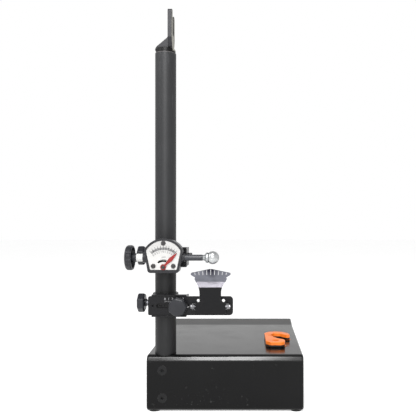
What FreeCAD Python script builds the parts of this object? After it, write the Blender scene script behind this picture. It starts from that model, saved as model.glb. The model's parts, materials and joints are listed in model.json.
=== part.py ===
"""Bicycle wheel truing stand with one post, a dial gauge and a radial feeler.

The origin lies on the bench under the post's axis. +X runs from the post towards the wheel,
+Y runs from the front wall to the rear wall, and +Z is up. Lengths are in millimetres.
"""
import FreeCAD, Part
import math
import os

import Sketcher

# Sizes, one cell of the sheet each
SIZES = (
    # General clearances
    ("overrun", 1.0),
    ("fit_gap", 0.05),
    ("slide_gap", 0.1),
    ("soft_gap", 0.3),
    # Base box
    ("base_width", 200.0),
    ("base_left", 22.2),
    ("base_depth", 236.0),
    ("base_height", 72.0),
    ("sheet_thickness", 3.5),
    ("bend_radius", 8.0),
    ("foot_bend_radius", 5.0),
    ("side_edge_radius", 3.0),
    ("flange_depth", 30.0),
    ("ramp_run", 34.0),
    ("ramp_bend_radius", 60.0),
    ("foot_diameter", 14.0),
    ("foot_thickness", 1.5),
    ("foot_inset", 9.5),
    ("bench_hole_diameter", 6.5),
    ("bench_hole_from_left", 52.0),
    ("bench_hole_from_right", 28.0),
    ("bench_hole_from_wall", 20.0),
    # Post and what closes its ends
    ("post_diameter", 27.0),
    ("post_bore", 22.0),
    ("post_gap", 0.15),
    ("foot_plug_height", 60.0),
    ("post_screw_diameter", 6.0),
    ("post_screw_head", 12.0),
    ("post_screw_length", 22.0),
    ("post_screw_low", 18.0),
    ("post_screw_high", 53.0),
    ("post_screw_offset", 1.8),
    ("hex_key", 4.0),
    ("hex_depth", 2.6),
    # Axle head
    ("neck_radius", 12.8),
    ("neck_height", 6.0),
    ("neck_round", 2.4),
    ("head_plug_length", 22.0),
    ("gusset_thickness", 12.0),
    ("gusset_height", 25.0),
    ("gusset_radius", 8.7),
    ("gusset_heel_radius", 7.5),
    ("blade_offset", 4.4),
    ("blade_thickness", 5.4),
    ("blade_width", 26.0),
    ("blade_top", 514.0),
    ("blade_rise", 55.0),
    ("blade_corner_radius", 4.0),
    ("rear_prong_drop", 4.2),
    ("axle_rise", 28.0),
    ("axle_slot_width", 10.2),
    ("slot_mouth_radius", 1.5),
    # Collars that slide on the post, shared by the gauge and the radial unit
    ("gauge_height", 196.9),
    ("ball_gap", 6.3),
    ("collar_diameter", 33.0),
    ("collar_height", 28.0),
    ("collar_edge", 0.8),
    ("collar_flat", 17.5),
    ("collar_flat_width", 17.0),
    ("clamp_boss_diameter", 14.0),
    ("clamp_boss_reach", 22.0),
    ("tie_boss_diameter", 12.0),
    ("clamp_pad_diameter", 8.0),
    ("clamp_pad_thickness", 2.0),
    ("clamp_travel", 1.5),
    ("clamp_rise", 0.8),
    ("stud_diameter", 6.0),
    # Seven-lobed clamp knobs
    ("knob_diameter", 25.4),
    ("knob_thickness", 9.4),
    ("knob_lobe_radius", 3.6),
    ("knob_edge_radius", 2.4),
    ("knob_hub_diameter", 9.5),
    ("knob_hub_length", 2.3),
    ("knob_offset", 26.3),
    ("knob_grip_depth", 7.0),
    # Channel brackets
    ("web_thickness", 2.5),
    ("flange_thickness", 1.8),
    ("flange_reach", 4.0),
    ("bracket_left", 14.0),
    ("bracket_right", 29.6),
    ("gauge_bracket_height", 25.0),
    ("tab_thickness", 2.0),
    ("tab_back", 4.4),
    ("bracket_screw_spacing", 11.0),
    ("bracket_screw_diameter", 4.0),
    ("bracket_screw_head", 7.6),
    ("bracket_screw_depth", 4.2),
    ("tie_bolt_diameter", 5.0),
    ("tie_bolt_head", 9.4),
    ("tie_bolt_head_height", 4.6),
    ("tie_bolt_reach", 11.0),
    # Gauge housing; the heights of its outline are counted from the pointer's pivot
    ("pivot_offset", 3.3),
    ("pivot_drop", 11.1),
    ("housing_back", 24.3),
    ("housing_depth", 15.5),
    ("housing_arc_radius", 27.0),
    ("housing_arc_rise", 8.1),
    ("housing_shoulder", 23.9),
    ("housing_foot", 18.9),
    ("housing_bottom", 7.2),
    ("housing_corner_radius", 3.8),
    ("housing_shoulder_radius", 8.0),
    ("housing_back_wall", 2.0),
    ("rim_width", 2.7),
    ("foot_rim_width", 3.9),
    ("ledge_width", 2.0),
    ("face_recess", 0.4),
    ("face_thickness", 1.0),
    ("face_screw_spread", 12.3),
    ("face_screw_low", 1.2),
    ("face_screw_high", 29.4),
    ("face_screw_head", 5.8),
    ("face_screw_head_height", 1.5),
    ("face_screw_diameter", 2.5),
    ("face_screw_length", 6.0),
    ("face_post_diameter", 5.2),
    ("housing_screw_left", 11.3),
    ("housing_screw_right", 16.0),
    ("housing_screw_diameter", 3.0),
    ("housing_screw_head", 5.2),
    ("housing_screw_head_height", 1.8),
    ("housing_screw_length", 8.0),
    ("housing_boss_diameter", 6.6),
    ("sleeve_boss_reach", 22.7),
    ("sleeve_boss_diameter", 12.6),
    ("rod_boss_reach", 29.0),
    ("rod_boss_root", 13.0),
    ("rod_boss_tip", 10.0),
    # Pointer
    ("pin_orbit", 8.3),
    ("pin_diameter", 1.8),
    ("pin_slack", 0.3),
    ("crescent_width", 2.4),
    ("crescent_belly", 6.3),
    ("pointer_length", 23.8),
    ("pointer_width", 4.9),
    ("pointer_hub", 7.0),
    ("pointer_thickness", 0.8),
    ("pointer_gap", 0.1),
    ("backing_thickness", 0.5),
    ("backing_tab_width", 4.8),
    ("backing_tab_drop", 3.2),
    ("pivot_diameter", 2.0),
    ("pivot_head", 4.6),
    ("pivot_head_height", 1.2),
    # Plunger, carried through the housing
    ("plunger_ahead", 31.5),
    ("sleeve_diameter", 9.8),
    ("sleeve_reach", 30.8),
    ("plunger_right", 19.2),
    ("plunger_flange_diameter", 11.6),
    ("plunger_flange_width", 2.0),
    ("groove_slack", 0.4),
    ("spring_seat_width", 1.4),
    ("yoke_width", 4.2),
    ("yoke_drop", 6.6),
    ("yoke_rise", 1.0),
    ("yoke_gap", 0.4),
    ("yoke_slot_depth", 1.4),
    ("pin_tip_gap", 0.3),
    ("spring_left", 12.8),
    ("spring_mean_diameter", 11.1),
    ("spring_wire", 0.7),
    ("spring_turns", 7.0),
    # Reach rod, its screw and knob, and the contact ball
    ("rod_diameter", 7.5),
    ("rod_left", 10.0),
    ("rod_right", 51.0),
    ("reach_travel", 12.0),
    ("stem_diameter", 5.0),
    ("stem_seat", 7.0),
    ("reach_knob_diameter", 31.0),
    ("reach_knob_left", 43.8),
    ("reach_knob_right", 35.4),
    ("reach_knob_wall", 2.6),
    ("reach_knob_floor", 3.6),
    ("reach_knob_round", 3.4),
    ("reach_hub_diameter", 10.8),
    ("reach_hub_right", 31.2),
    ("grip_diameter", 7.0),
    ("grip_depth", 0.9),
    ("ball_diameter", 16.0),
    ("ball_centre", 63.3),
    ("cup_right", 58.8),
    ("cup_diameter", 12.6),
    ("ball_shank_diameter", 4.0),
    ("ball_shank_seat", 5.0),
    # Radial bar
    ("bar_left", 18.5),
    ("bar_length", 106.7),
    ("bar_height", 23.8),
    ("bar_thickness", 3.0),
    ("bar_left_radius", 2.0),
    ("bar_right_radius", 4.5),
    ("bar_slot_left", 8.1),
    ("bar_slot_right", 33.2),
    ("bar_slot_height", 6.3),
    ("bar_pilot_left", 12.6),
    ("bar_pilot_diameter", 3.0),
    ("bar_knob_across", 19.9),
    ("bar_knob_diameter", 24.0),
    ("bar_knob_thickness", 12.0),
    ("bar_washer_diameter", 12.0),
    ("bar_washer_thickness", 1.4),
    ("bar_stud_diameter", 5.0),
    # Feeler, its hinge and springs
    ("feeler_centre", 60.4),
    ("feeler_sheet", 1.2),
    ("feeler_ahead", 33.2),
    ("feeler_bottom", 10.0),
    ("feeler_skirt_width", 37.8),
    ("feeler_skirt_height", 15.6),
    ("feeler_neck_width", 26.8),
    ("feeler_bend_low", 24.5),
    ("feeler_bend_high", 30.5),
    ("feeler_fan_width", 37.4),
    ("feeler_wing_width", 49.8),
    ("feeler_peak", 46.8),
    ("feeler_side_radius", 19.8),
    ("feeler_neck_straight", 11.5),
    ("feeler_flare", 13.6),
    ("feeler_cheek_out", 1.4),
    ("feeler_cheek_rise", 3.0),
    ("feeler_wing_drop", 6.5),
    ("feeler_wing_radius", 1.9),
    ("feeler_notch_depth", 0.7),
    ("feeler_crown", 3.4),
    ("ear_radius", 4.5),
    ("hinge_ahead", 28.5),
    ("hinge_pin_diameter", 3.0),
    ("hinge_pin_length", 50.0),
    ("lug_sheet", 1.5),
    ("lug_spread", 34.6),
    ("lug_height", 8.6),
    ("lug_rivet_diameter", 3.0),
    ("torsion_mean_diameter", 7.6),
    ("torsion_wire", 1.0),
    ("torsion_turns", 3.0),
    ("clip_diameter", 6.4),
    ("clip_thickness", 0.8),
    ("leg_hole_diameter", 4.0),
    ("leg_hole_offset", 15.8),
    ("leg_hole_rise", 6.6),
    # Spoke wrench that lies on the base
    ("wrench_left", 129.0),
    ("wrench_length", 37.0),
    ("wrench_front", 24.0),
    ("wrench_width", 70.0),
    ("wrench_core_thickness", 2.6),
    ("wrench_top_thickness", 4.4),
    ("wrench_bottom_thickness", 0.8),
    ("wrench_corner_radius", 2.2),
    ("wrench_notch_width", 3.3),
    ("wrench_notch_depth", 4.6),
    ("wrench_eye_diameter", 9.0),
    ("wrench_edge_radius", 0.9),
)

# Number of lobes, patterns and angles, which aren't lengths
KNOB_LOBES = 7
REACH_KNOB_GRIPS = 12
POINTER_REST = 44.0
CRESCENT_HALF_ANGLE = 45.0
TORSION_PITCH_SHARE = 1.05
RUNS_PER_TURN = 12
MITRED = 1
BEND_SHARE = math.tan(math.radians(22.5))
RAMP_ANGLE = 7.0
BLADE_SHOULDER_SHARE = 0.66
PLANE_ROLES = {"front": "XZ_Plane", "side": "YZ_Plane", "top": "XY_Plane"}

document = FreeCAD.newDocument("truing_stand")
sheet = document.addObject("Spreadsheet::Sheet", "sheet")
nodes = []


class Length:
    """A size: its value, and the expression that keeps what uses it bound to the sheet."""

    def __init__(self, text, value):
        self.text = text
        self.value = value

    def __add__(self, other):
        return joined(self, "+", other)

    def __radd__(self, other):
        return joined(other, "+", self)

    def __sub__(self, other):
        return joined(self, "-", other)

    def __rsub__(self, other):
        return joined(other, "-", self)

    def __mul__(self, other):
        return joined(self, "*", other)

    def __rmul__(self, other):
        return joined(other, "*", self)

    def __truediv__(self, other):
        return joined(self, "/", other)

    def __neg__(self):
        return joined(-1.0, "*", self)

    def root(self):
        return Length("sqrt(%s)" % self.text, math.sqrt(self.value))


def as_length(number):
    """Give a plain number the same two faces as a size."""
    if isinstance(number, Length):
        return number
    return Length("(%.9f)" % number, float(number))


def joined(left, sign, right):
    """Combine two sizes, value and expression alike."""
    first = as_length(left)
    second = as_length(right)
    text = "(%s %s %s)" % (first.text, sign, second.text)
    if sign == "+":
        return Length(text, first.value + second.value)
    if sign == "-":
        return Length(text, first.value - second.value)
    if sign == "*":
        return Length(text, first.value * second.value)
    return Length(text, first.value / second.value)


class Sizes:
    """Every cell of the sheet as a Length, under its alias."""


def fill_sheet():
    """Write the sizes into the sheet and return them by name."""
    named = Sizes()
    for row, (alias, value) in enumerate(SIZES, start=1):
        sheet.set("A%d" % row, alias)
        sheet.set("B%d" % row, "%g" % value)
        sheet.setAlias("B%d" % row, alias)
        setattr(named, alias, Length("sheet.%s" % alias, value))
    document.recompute()
    return named


s = fill_sheet()


# Drawing helpers

def bind(thing, path, length):
    """Bind a property to a size."""
    thing.setExpression(path, as_length(length).text)


def new_body(label, x=0, y=0, z=0):
    """Start a sub-part whose own origin stands at x, y, z."""
    body = document.addObject("PartDesign::Body", label)
    body.Label = label
    for name, length in (("x", x), ("y", y), ("z", z)):
        bind(body, "Placement.Base.%s" % name, length)
    return body


def keep(part, label):
    """List a finished sub-part as a node."""
    part.Label = label
    nodes.append(part)
    return part


def new_sketch(body, plane, start):
    """Start a sketch on one of the body's planes, moved along its normal to start."""
    sketch = body.newObject("Sketcher::SketchObject", "Outline")
    role = PLANE_ROLES[plane]
    support = [item for item in body.Origin.OriginFeatures if item.Role == role][0]
    sketch.AttachmentSupport = (support, [""])
    sketch.MapMode = "FlatFace"
    bind(sketch, "AttachmentOffset.Base.z", start)
    return sketch


def hold(sketch, kind, reference, length):
    """Add one dimension to a sketch and bind it."""
    size = as_length(length)
    constraint = Sketcher.Constraint(kind, *reference, size.value)
    index = sketch.addConstraint(constraint)
    if isinstance(length, Length):
        sketch.setExpression("Constraints[%d]" % index, size.text)


def draw_circle(sketch, u, v, radius):
    """Draw a circle with its centre and radius held."""
    centre = FreeCAD.Vector(as_length(u).value, as_length(v).value, 0)
    index = sketch.addGeometry(Part.Circle(centre, FreeCAD.Vector(0, 0, 1), radius.value))
    hold(sketch, "DistanceX", (index, 3), u)
    hold(sketch, "DistanceY", (index, 3), v)
    hold(sketch, "Radius", (index,), radius)


def arc_through(start, end, radius, clockwise):
    """Return the shorter arc between two points, and the numbers of its start and end vertex."""
    chord = end.sub(start)
    middle = start.add(end).multiply(0.5)
    across = FreeCAD.Vector(-chord.y, chord.x, 0).normalize()
    reach = math.sqrt(max(radius ** 2 - (chord.Length / 2) ** 2, 0))
    side = -1 if clockwise else 1
    centre = middle.add(across.multiply(side * reach))
    first, last = (end, start) if clockwise else (start, end)
    first_angle = math.atan2(first.y - centre.y, first.x - centre.x)
    last_angle = math.atan2(last.y - centre.y, last.x - centre.x)
    if last_angle < first_angle:
        last_angle += 2 * math.pi
    circle = Part.Circle(centre, FreeCAD.Vector(0, 0, 1), radius)
    ends = (2, 1) if clockwise else (1, 2)
    return Part.ArcOfCircle(circle, first_angle, last_angle), ends


def draw_outline(sketch, points):
    """Draw a closed outline. A point may carry a radius and "cw" or "ccw": an arc leads to it."""
    places = [FreeCAD.Vector(as_length(p[0]).value, as_length(p[1]).value, 0) for p in points]
    first = sketch.GeometryCount
    ends = []
    for index, point in enumerate(points):
        start, end = places[index - 1], places[index]
        if len(point) == 2:
            sketch.addGeometry(Part.LineSegment(start, end))
            ends.append((1, 2))
        else:
            arc, arc_ends = arc_through(start, end, point[2].value, point[3] == "cw")
            sketch.addGeometry(arc)
            ends.append(arc_ends)
    for index, point in enumerate(points):
        following = (index + 1) % len(points)
        edge, next_edge = first + index, first + following
        sketch.addConstraint(
            Sketcher.Constraint("Coincident", edge, ends[index][1], next_edge, ends[following][0]))
        hold(sketch, "DistanceX", (edge, ends[index][1]), point[0])
        hold(sketch, "DistanceY", (edge, ends[index][1]), point[1])
        if len(point) == 4:
            hold(sketch, "Radius", (edge,), point[2])


def draw(sketch, profiles):
    """Draw each profile: a (u, v, radius) circle or a list of outline points."""
    for profile in profiles:
        if isinstance(profile, tuple):
            draw_circle(sketch, *profile)
        else:
            draw_outline(sketch, profile)


def rectangle(left, right, bottom, top):
    """Return the outline of a rectangle."""
    return [(left, bottom), (right, bottom), (right, top), (left, top)]


def pad(body, plane, start, length, *profiles):
    """Add material along the plane's normal, from start over length."""
    sketch = new_sketch(body, plane, start)
    draw(sketch, profiles)
    feature = body.newObject("PartDesign::Pad", "Pad")
    feature.Profile = sketch
    bind(feature, "Length", length)
    document.recompute()
    return feature


def cut(body, plane, start, length, *profiles):
    """Take material away along the plane's normal, from start over length."""
    before = body.Shape.Volume
    sketch = new_sketch(body, plane, start)
    draw(sketch, profiles)
    feature = body.newObject("PartDesign::Pocket", "Pocket")
    feature.Profile = sketch
    feature.Reversed = True
    bind(feature, "Length", length)
    document.recompute()
    if not body.Shape.Volume < before:
        raise RuntimeError("a pocket of %s cuts nothing" % body.Label)
    return feature


def turn(body, along, points, ahead=0, kind="PartDesign::Revolution"):
    """Turn (place along the axis, radius) points about the body's axis, ahead of its origin."""
    before = body.Shape.Volume if body.Tip else 0
    plane = "side" if along == "y" else "front"
    sketch = new_sketch(body, plane, ahead)
    outline = [(p[1], p[0]) + tuple(p[2:]) for p in points] if along == "z" else points
    draw(sketch, [outline])
    feature = body.newObject(kind, "Turned")
    feature.Profile = sketch
    feature.ReferenceAxis = (sketch, ["V_Axis" if along == "z" else "H_Axis"])
    document.recompute()
    if not abs(body.Shape.Volume - before) > 0:
        raise RuntimeError("a turned feature of %s changes nothing" % body.Label)
    return feature


def is_along(edge, direction):
    """Tell whether an edge is straight and runs along a direction."""
    if not isinstance(edge.Curve, Part.Line):
        return False
    return abs(edge.Curve.Direction.dot(direction)) > 0.999


def is_near(value, length):
    """Tell whether a coordinate is at a size."""
    return abs(value - as_length(length).value) < 0.001 * s.post_diameter.value


def dress(body, kind, amount, test):
    """Round or chamfer the edges that pass the test."""
    base = body.Tip
    chosen = [index for index, edge in enumerate(base.Shape.Edges, start=1) if test(edge)]
    if not chosen:
        raise RuntimeError("no edge of %s to dress" % body.Label)
    feature = body.newObject("PartDesign::%s" % kind, kind)
    feature.Base = (base, ["Edge%d" % index for index in chosen])
    bind(feature, "Radius" if kind == "Fillet" else "Size", amount)
    document.recompute()
    return feature


def repeat_round(body, feature, axis, count):
    """Repeat a feature round its sketch's axis."""
    pattern = body.newObject("PartDesign::PolarPattern", "Ring")
    pattern.Originals = [feature]
    pattern.Axis = (feature.Profile[0], [axis])
    pattern.Angle = 360
    pattern.Occurrences = count
    body.Tip = pattern
    document.recompute()
    return pattern


def group(label, members):
    """Join identical loose pieces into one node of separate solids."""
    compound = document.addObject("Part::Compound", label)
    compound.Links = members
    return keep(compound, label)


def shape_part(label, shape, x=0, y=0, z=0):
    """Make a sub-part from a ready shape, and place it afterwards."""
    part = document.addObject("Part::Feature", label)
    part.Shape = shape
    place = FreeCAD.Vector(as_length(x).value, as_length(y).value, as_length(z).value)
    part.Placement = FreeCAD.Placement(place, FreeCAD.Rotation())
    return keep(part, label)


# Places that several pieces share

post_radius = s.post_diameter / 2
wall_inside = -(post_radius + s.post_gap)
wall_front = wall_inside - s.sheet_thickness
wall_back = wall_front + s.base_depth
rear_wall_front = wall_back - s.sheet_thickness
ramp_start = wall_back - s.ramp_run
ramp_bend = s.ramp_bend_radius * math.tan(math.radians(RAMP_ANGLE / 2))
base_right = s.base_width - s.base_left
floor_top = s.foot_thickness + s.sheet_thickness
post_top = s.blade_top - s.blade_rise
axle_height = post_top + s.axle_rise
radial_height = s.gauge_height - s.ball_diameter / 2 - s.ball_gap - s.feeler_peak
collar_bore = post_radius + s.fit_gap
web_front = s.collar_flat + s.web_thickness
channel_front = web_front + s.flange_reach
bar_back = web_front
bar_front = bar_back + s.bar_thickness
radial_bracket_height = s.bar_height + 2 * s.slide_gap + 2 * s.flange_thickness
housing_front = s.housing_back + s.housing_depth
face_front = housing_front - s.face_recess
face_back = face_front - s.face_thickness
cavity_back = s.housing_back + s.housing_back_wall
backing_front = face_front + s.backing_thickness
pointer_back = backing_front + s.pointer_gap
pointer_front = pointer_back + s.pointer_thickness
pin_across = s.pivot_offset + s.pin_orbit * math.sin(math.radians(POINTER_REST))
yoke_left = pin_across - s.yoke_width / 2
yoke_front = face_back - s.yoke_gap
rod_bore_left = s.rod_left - s.reach_travel - s.overrun
feeler_hinge = s.hinge_ahead


# Base

def ramp_top(along):
    """Return the height of the top sheet's upper face on the ramp at its rear."""
    return s.base_height + (along - ramp_start) * math.tan(math.radians(RAMP_ANGLE))


def ramp_under(along):
    """Return the height of the top sheet's lower face on the ramp."""
    return ramp_top(along) - s.sheet_thickness / math.cos(math.radians(RAMP_ANGLE))


def ramp_toe(depth):
    """Return where the ramp's bend ends, at a depth below the upper face."""
    cosine, sine = math.cos(math.radians(RAMP_ANGLE)), math.sin(math.radians(RAMP_ANGLE))
    return (ramp_start + ramp_bend * cosine + depth * sine,
            s.base_height + ramp_bend * sine - depth * cosine)


def base_shell():
    """Folded steel box: front wall, top and two sides, with a foot flange under the front."""
    body = new_body("base_shell")
    top = s.base_height
    under = top - s.sheet_thickness
    inner_bend = s.bend_radius - s.sheet_thickness
    inner_foot = s.foot_bend_radius - s.sheet_thickness
    outer_bend = s.ramp_bend_radius + s.sheet_thickness
    upper_toe = ramp_toe(as_length(0))
    crest_to_foot = [
        upper_toe,
        (ramp_start - ramp_bend, top, s.ramp_bend_radius, "cw"),
        (wall_front + s.bend_radius, top),
        (wall_front, top - s.bend_radius, s.bend_radius, "ccw"),
        (wall_front, s.foot_thickness + s.foot_bend_radius),
        (wall_front + s.foot_bend_radius, s.foot_thickness, s.foot_bend_radius, "ccw"),
    ]
    section = [
        (wall_front + s.flange_depth, s.foot_thickness),
        (wall_front + s.flange_depth, floor_top),
        (wall_front + s.foot_bend_radius, floor_top),
        (wall_inside, s.foot_thickness + s.foot_bend_radius, inner_foot, "cw"),
        (wall_inside, top - s.bend_radius),
        (wall_front + s.bend_radius, under, inner_bend, "cw"),
        (ramp_start - ramp_bend, under),
        ramp_toe(s.sheet_thickness) + (outer_bend, "ccw"),
        (wall_back, ramp_under(wall_back)),
        (wall_back, ramp_top(wall_back)),
    ]
    pad(body, "side", -s.base_left, s.base_width, section + crest_to_foot)
    side = [
        (rear_wall_front, s.foot_thickness),
        (rear_wall_front, ramp_top(rear_wall_front)),
    ]
    for left in (-s.base_left, base_right - s.sheet_thickness):
        pad(body, "side", left, s.sheet_thickness, side + crest_to_foot)

    def outer_side_edge(edge):
        box = edge.BoundBox
        flat = is_near(box.XMin, box.XMax)
        on_side = is_near(box.XMin, -s.base_left) or is_near(box.XMin, base_right)
        upper = box.ZMin > under.value and box.YMin < ramp_start.value + s.ramp_run.value / 2
        return flat and on_side and (upper or is_near(box.YMin, wall_front))
    dress(body, "Fillet", s.side_edge_radius, outer_side_edge)
    hole = post_radius + s.post_gap
    cut(body, "top", top - s.bend_radius, s.bend_radius + s.overrun, (0, 0, hole))
    screw_hole = s.post_screw_diameter / 2 + s.slide_gap
    for height in (s.post_screw_low, s.post_screw_high):
        cut(body, "front", -wall_inside - s.overrun, s.sheet_thickness + 2 * s.overrun,
            (-s.post_screw_offset, height, screw_hole))

    def screw_hole_mouth(edge):
        round_edge = isinstance(edge.Curve, Part.Circle)
        return round_edge and is_near(edge.BoundBox.YMax, wall_front) and edge.Curve.Radius < hole.value
    dress(body, "Chamfer", s.post_screw_head / 2 - screw_hole, screw_hole_mouth)
    for across in bench_hole_places():
        cut(body, "top", s.foot_thickness - s.overrun, s.sheet_thickness + 2 * s.overrun,
            (across, wall_front + s.bench_hole_from_wall, s.bench_hole_diameter / 2))
    return keep(body, "base_shell")


def bench_hole_places():
    """Return the two places across the base of the holes for bench screws."""
    return (s.bench_hole_from_left - s.base_left, base_right - s.bench_hole_from_right)


def rear_wall():
    """Rear wall under the ramp's end, with a foot flange under it."""
    body = new_body("rear_wall")
    inner_foot = s.foot_bend_radius - s.sheet_thickness
    section = [
        (wall_back - s.flange_depth, s.foot_thickness),
        (wall_back - s.foot_bend_radius, s.foot_thickness),
        (wall_back, s.foot_thickness + s.foot_bend_radius, s.foot_bend_radius, "ccw"),
        (wall_back, ramp_under(wall_back)),
        (rear_wall_front, ramp_under(rear_wall_front)),
        (rear_wall_front, s.foot_thickness + s.foot_bend_radius),
        (wall_back - s.foot_bend_radius, floor_top, inner_foot, "cw"),
        (wall_back - s.flange_depth, floor_top),
    ]
    pad(body, "side", -s.base_left, s.base_width, section)
    trim = s.sheet_thickness + s.soft_gap
    for left in (-s.base_left - s.overrun, base_right - trim):
        cut(body, "top", s.foot_thickness - s.overrun, s.foot_bend_radius + s.overrun,
            rectangle(left, left + trim + s.overrun,
                      wall_back - s.flange_depth - s.overrun, rear_wall_front))
    for across in bench_hole_places():
        cut(body, "top", s.foot_thickness - s.overrun, s.sheet_thickness + 2 * s.overrun,
            (across, wall_back - s.bench_hole_from_wall, s.bench_hole_diameter / 2))
    return keep(body, "rear_wall")


def foot_pads():
    """Five rubber discs: one under each corner of the flanges, and one under the post."""
    body = new_body("foot_pads")
    radius = s.foot_diameter / 2
    discs = [(0, 0, radius)]
    for across in (s.foot_inset - s.base_left, base_right - s.foot_inset):
        for along in (wall_front + s.foot_inset, wall_back - s.foot_inset):
            discs.append((across, along, radius))
    pad(body, "top", 0, s.foot_thickness, *discs)
    return keep(body, "foot_pads")


# Post

def post_tube():
    """Steel tube that stands on the front flange and is held to the front wall."""
    body = new_body("post_tube")
    pad(body, "top", floor_top, post_top - floor_top, (0, 0, post_radius))
    cut(body, "top", floor_top - s.overrun, post_top - floor_top + 2 * s.overrun,
        (0, 0, s.post_bore / 2))
    for height in (s.post_screw_low, s.post_screw_high):
        cut(body, "front", 0, post_radius + s.overrun,
            (-s.post_screw_offset, height, s.post_screw_diameter / 2 + s.slide_gap))

    def outer_foot_edge(edge):
        round_edge = isinstance(edge.Curve, Part.Circle)
        at_foot = round_edge and is_near(edge.BoundBox.ZMax, floor_top)
        return at_foot and is_near(edge.Curve.Radius, post_radius)
    dress(body, "Chamfer", s.foot_bend_radius - s.sheet_thickness, outer_foot_edge)
    return keep(body, "post_tube")


def post_foot_plug():
    """Solid plug in the post's foot, tapped for the two wall screws."""
    body = new_body("post_foot_plug")
    radius = s.post_bore / 2 - s.fit_gap
    pad(body, "top", floor_top, s.foot_plug_height, (0, 0, radius))
    for height in (s.post_screw_low, s.post_screw_high):
        tapped = s.post_screw_length + s.overrun
        cut(body, "front", -tapped - wall_front, tapped + s.overrun - wall_front - post_radius,
            (-s.post_screw_offset, height, s.post_screw_diameter / 2 + s.fit_gap))
    return keep(body, "post_foot_plug")


def socket_screw(height):
    """Flat-head screw through the front wall into the post's plug."""
    body = new_body("post_screw", -s.post_screw_offset, 0, height)
    head = s.post_screw_head / 2 - s.fit_gap
    shank = s.post_screw_diameter / 2
    turn(body, "y", [
        (wall_front, 0),
        (wall_front + s.post_screw_length, 0),
        (wall_front + s.post_screw_length, shank),
        (wall_front + head - shank, shank),
        (wall_front, head),
    ])
    hexagon = [(s.hex_key / math.sqrt(3) * math.cos(math.radians(60 * k)),
                s.hex_key / math.sqrt(3) * math.sin(math.radians(60 * k))) for k in range(6)]
    cut(body, "front", -wall_front - s.hex_depth, s.hex_depth + s.overrun, hexagon)
    return body


def post_screws():
    """The two screws that hold the post to the front wall."""
    return group("post_screws", [socket_screw(s.post_screw_low), socket_screw(s.post_screw_high)])


def axle_head():
    """Cast head: a plug in the tube, a neck ring, a gusset and the slotted axle blade."""
    body = new_body("axle_head")
    neck_top = post_top + s.neck_height
    plug_radius = s.post_bore / 2 - s.fit_gap
    turn(body, "z", [
        (post_top - s.head_plug_length, 0),
        (post_top - s.head_plug_length, plug_radius),
        (post_top, plug_radius),
        (post_top, s.neck_radius),
        (neck_top - s.neck_round, s.neck_radius),
        (neck_top, s.neck_radius - s.neck_round, s.neck_round, "ccw"),
        (neck_top, 0),
    ])
    blade_right = s.blade_offset + s.blade_thickness
    back = s.fit_gap - s.neck_radius
    heel = post_top + s.neck_height / 2
    crest = post_top + s.gusset_height
    rise = (crest - heel).value
    lean = (s.blade_offset - s.gusset_radius - back - s.gusset_heel_radius).value
    bends = (s.gusset_radius + s.gusset_heel_radius).value
    sweep = math.asin(bends / math.hypot(rise, lean)) + math.atan2(lean, rise)
    across = 1 - math.cos(sweep)
    down = math.sin(sweep)
    gusset = [
        (back, heel, s.gusset_heel_radius, "ccw"),
        (blade_right, heel),
        (blade_right, crest),
        (s.blade_offset, crest),
        (s.blade_offset - s.gusset_radius * across, crest - s.gusset_radius * down, s.gusset_radius, "cw"),
        (back + s.gusset_heel_radius * across, heel + s.gusset_heel_radius * down),
    ]
    pad(body, "front", -s.gusset_thickness / 2, s.gusset_thickness, gusset)
    half = s.blade_width / 2
    foot = half / 2
    shoulder = post_top + s.axle_rise * BLADE_SHOULDER_SHARE
    rear_top = s.blade_top - s.rear_prong_drop
    blade = [
        (-foot, neck_top - s.neck_round),
        (foot, neck_top - s.neck_round),
        (half, shoulder),
        (half, rear_top),
        (0, rear_top),
        (0, s.blade_top),
        (-half, s.blade_top),
        (-half, shoulder),
    ]
    pad(body, "side", s.blade_offset, s.blade_thickness, blade)

    def at_top(edge):
        height = edge.BoundBox.ZMin
        return is_near(height, s.blade_top) or is_near(height, rear_top)

    def blade_corner(edge):
        outer = is_near(abs(edge.BoundBox.YMin), half)
        return outer and at_top(edge) and is_along(edge, FreeCAD.Vector(1, 0, 0))
    dress(body, "Fillet", s.blade_corner_radius, blade_corner)
    start = s.blade_offset - s.overrun
    through = s.blade_thickness + 2 * s.overrun
    slot = s.axle_slot_width / 2
    mouth = [
        (slot, axle_height, slot, "ccw"),
        (slot, s.blade_top + s.overrun),
        (-slot, s.blade_top + s.overrun),
        (-slot, axle_height),
        (0, axle_height - slot, slot, "ccw"),
    ]
    cut(body, "side", start, through, mouth)

    def mouth_edge(edge):
        inner = abs(edge.BoundBox.YMin) < foot.value
        return inner and at_top(edge) and is_along(edge, FreeCAD.Vector(1, 0, 0))
    dress(body, "Fillet", s.slot_mouth_radius, mouth_edge)
    return keep(body, "axle_head")


# Pieces that the gauge and the radial unit share in kind

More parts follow.
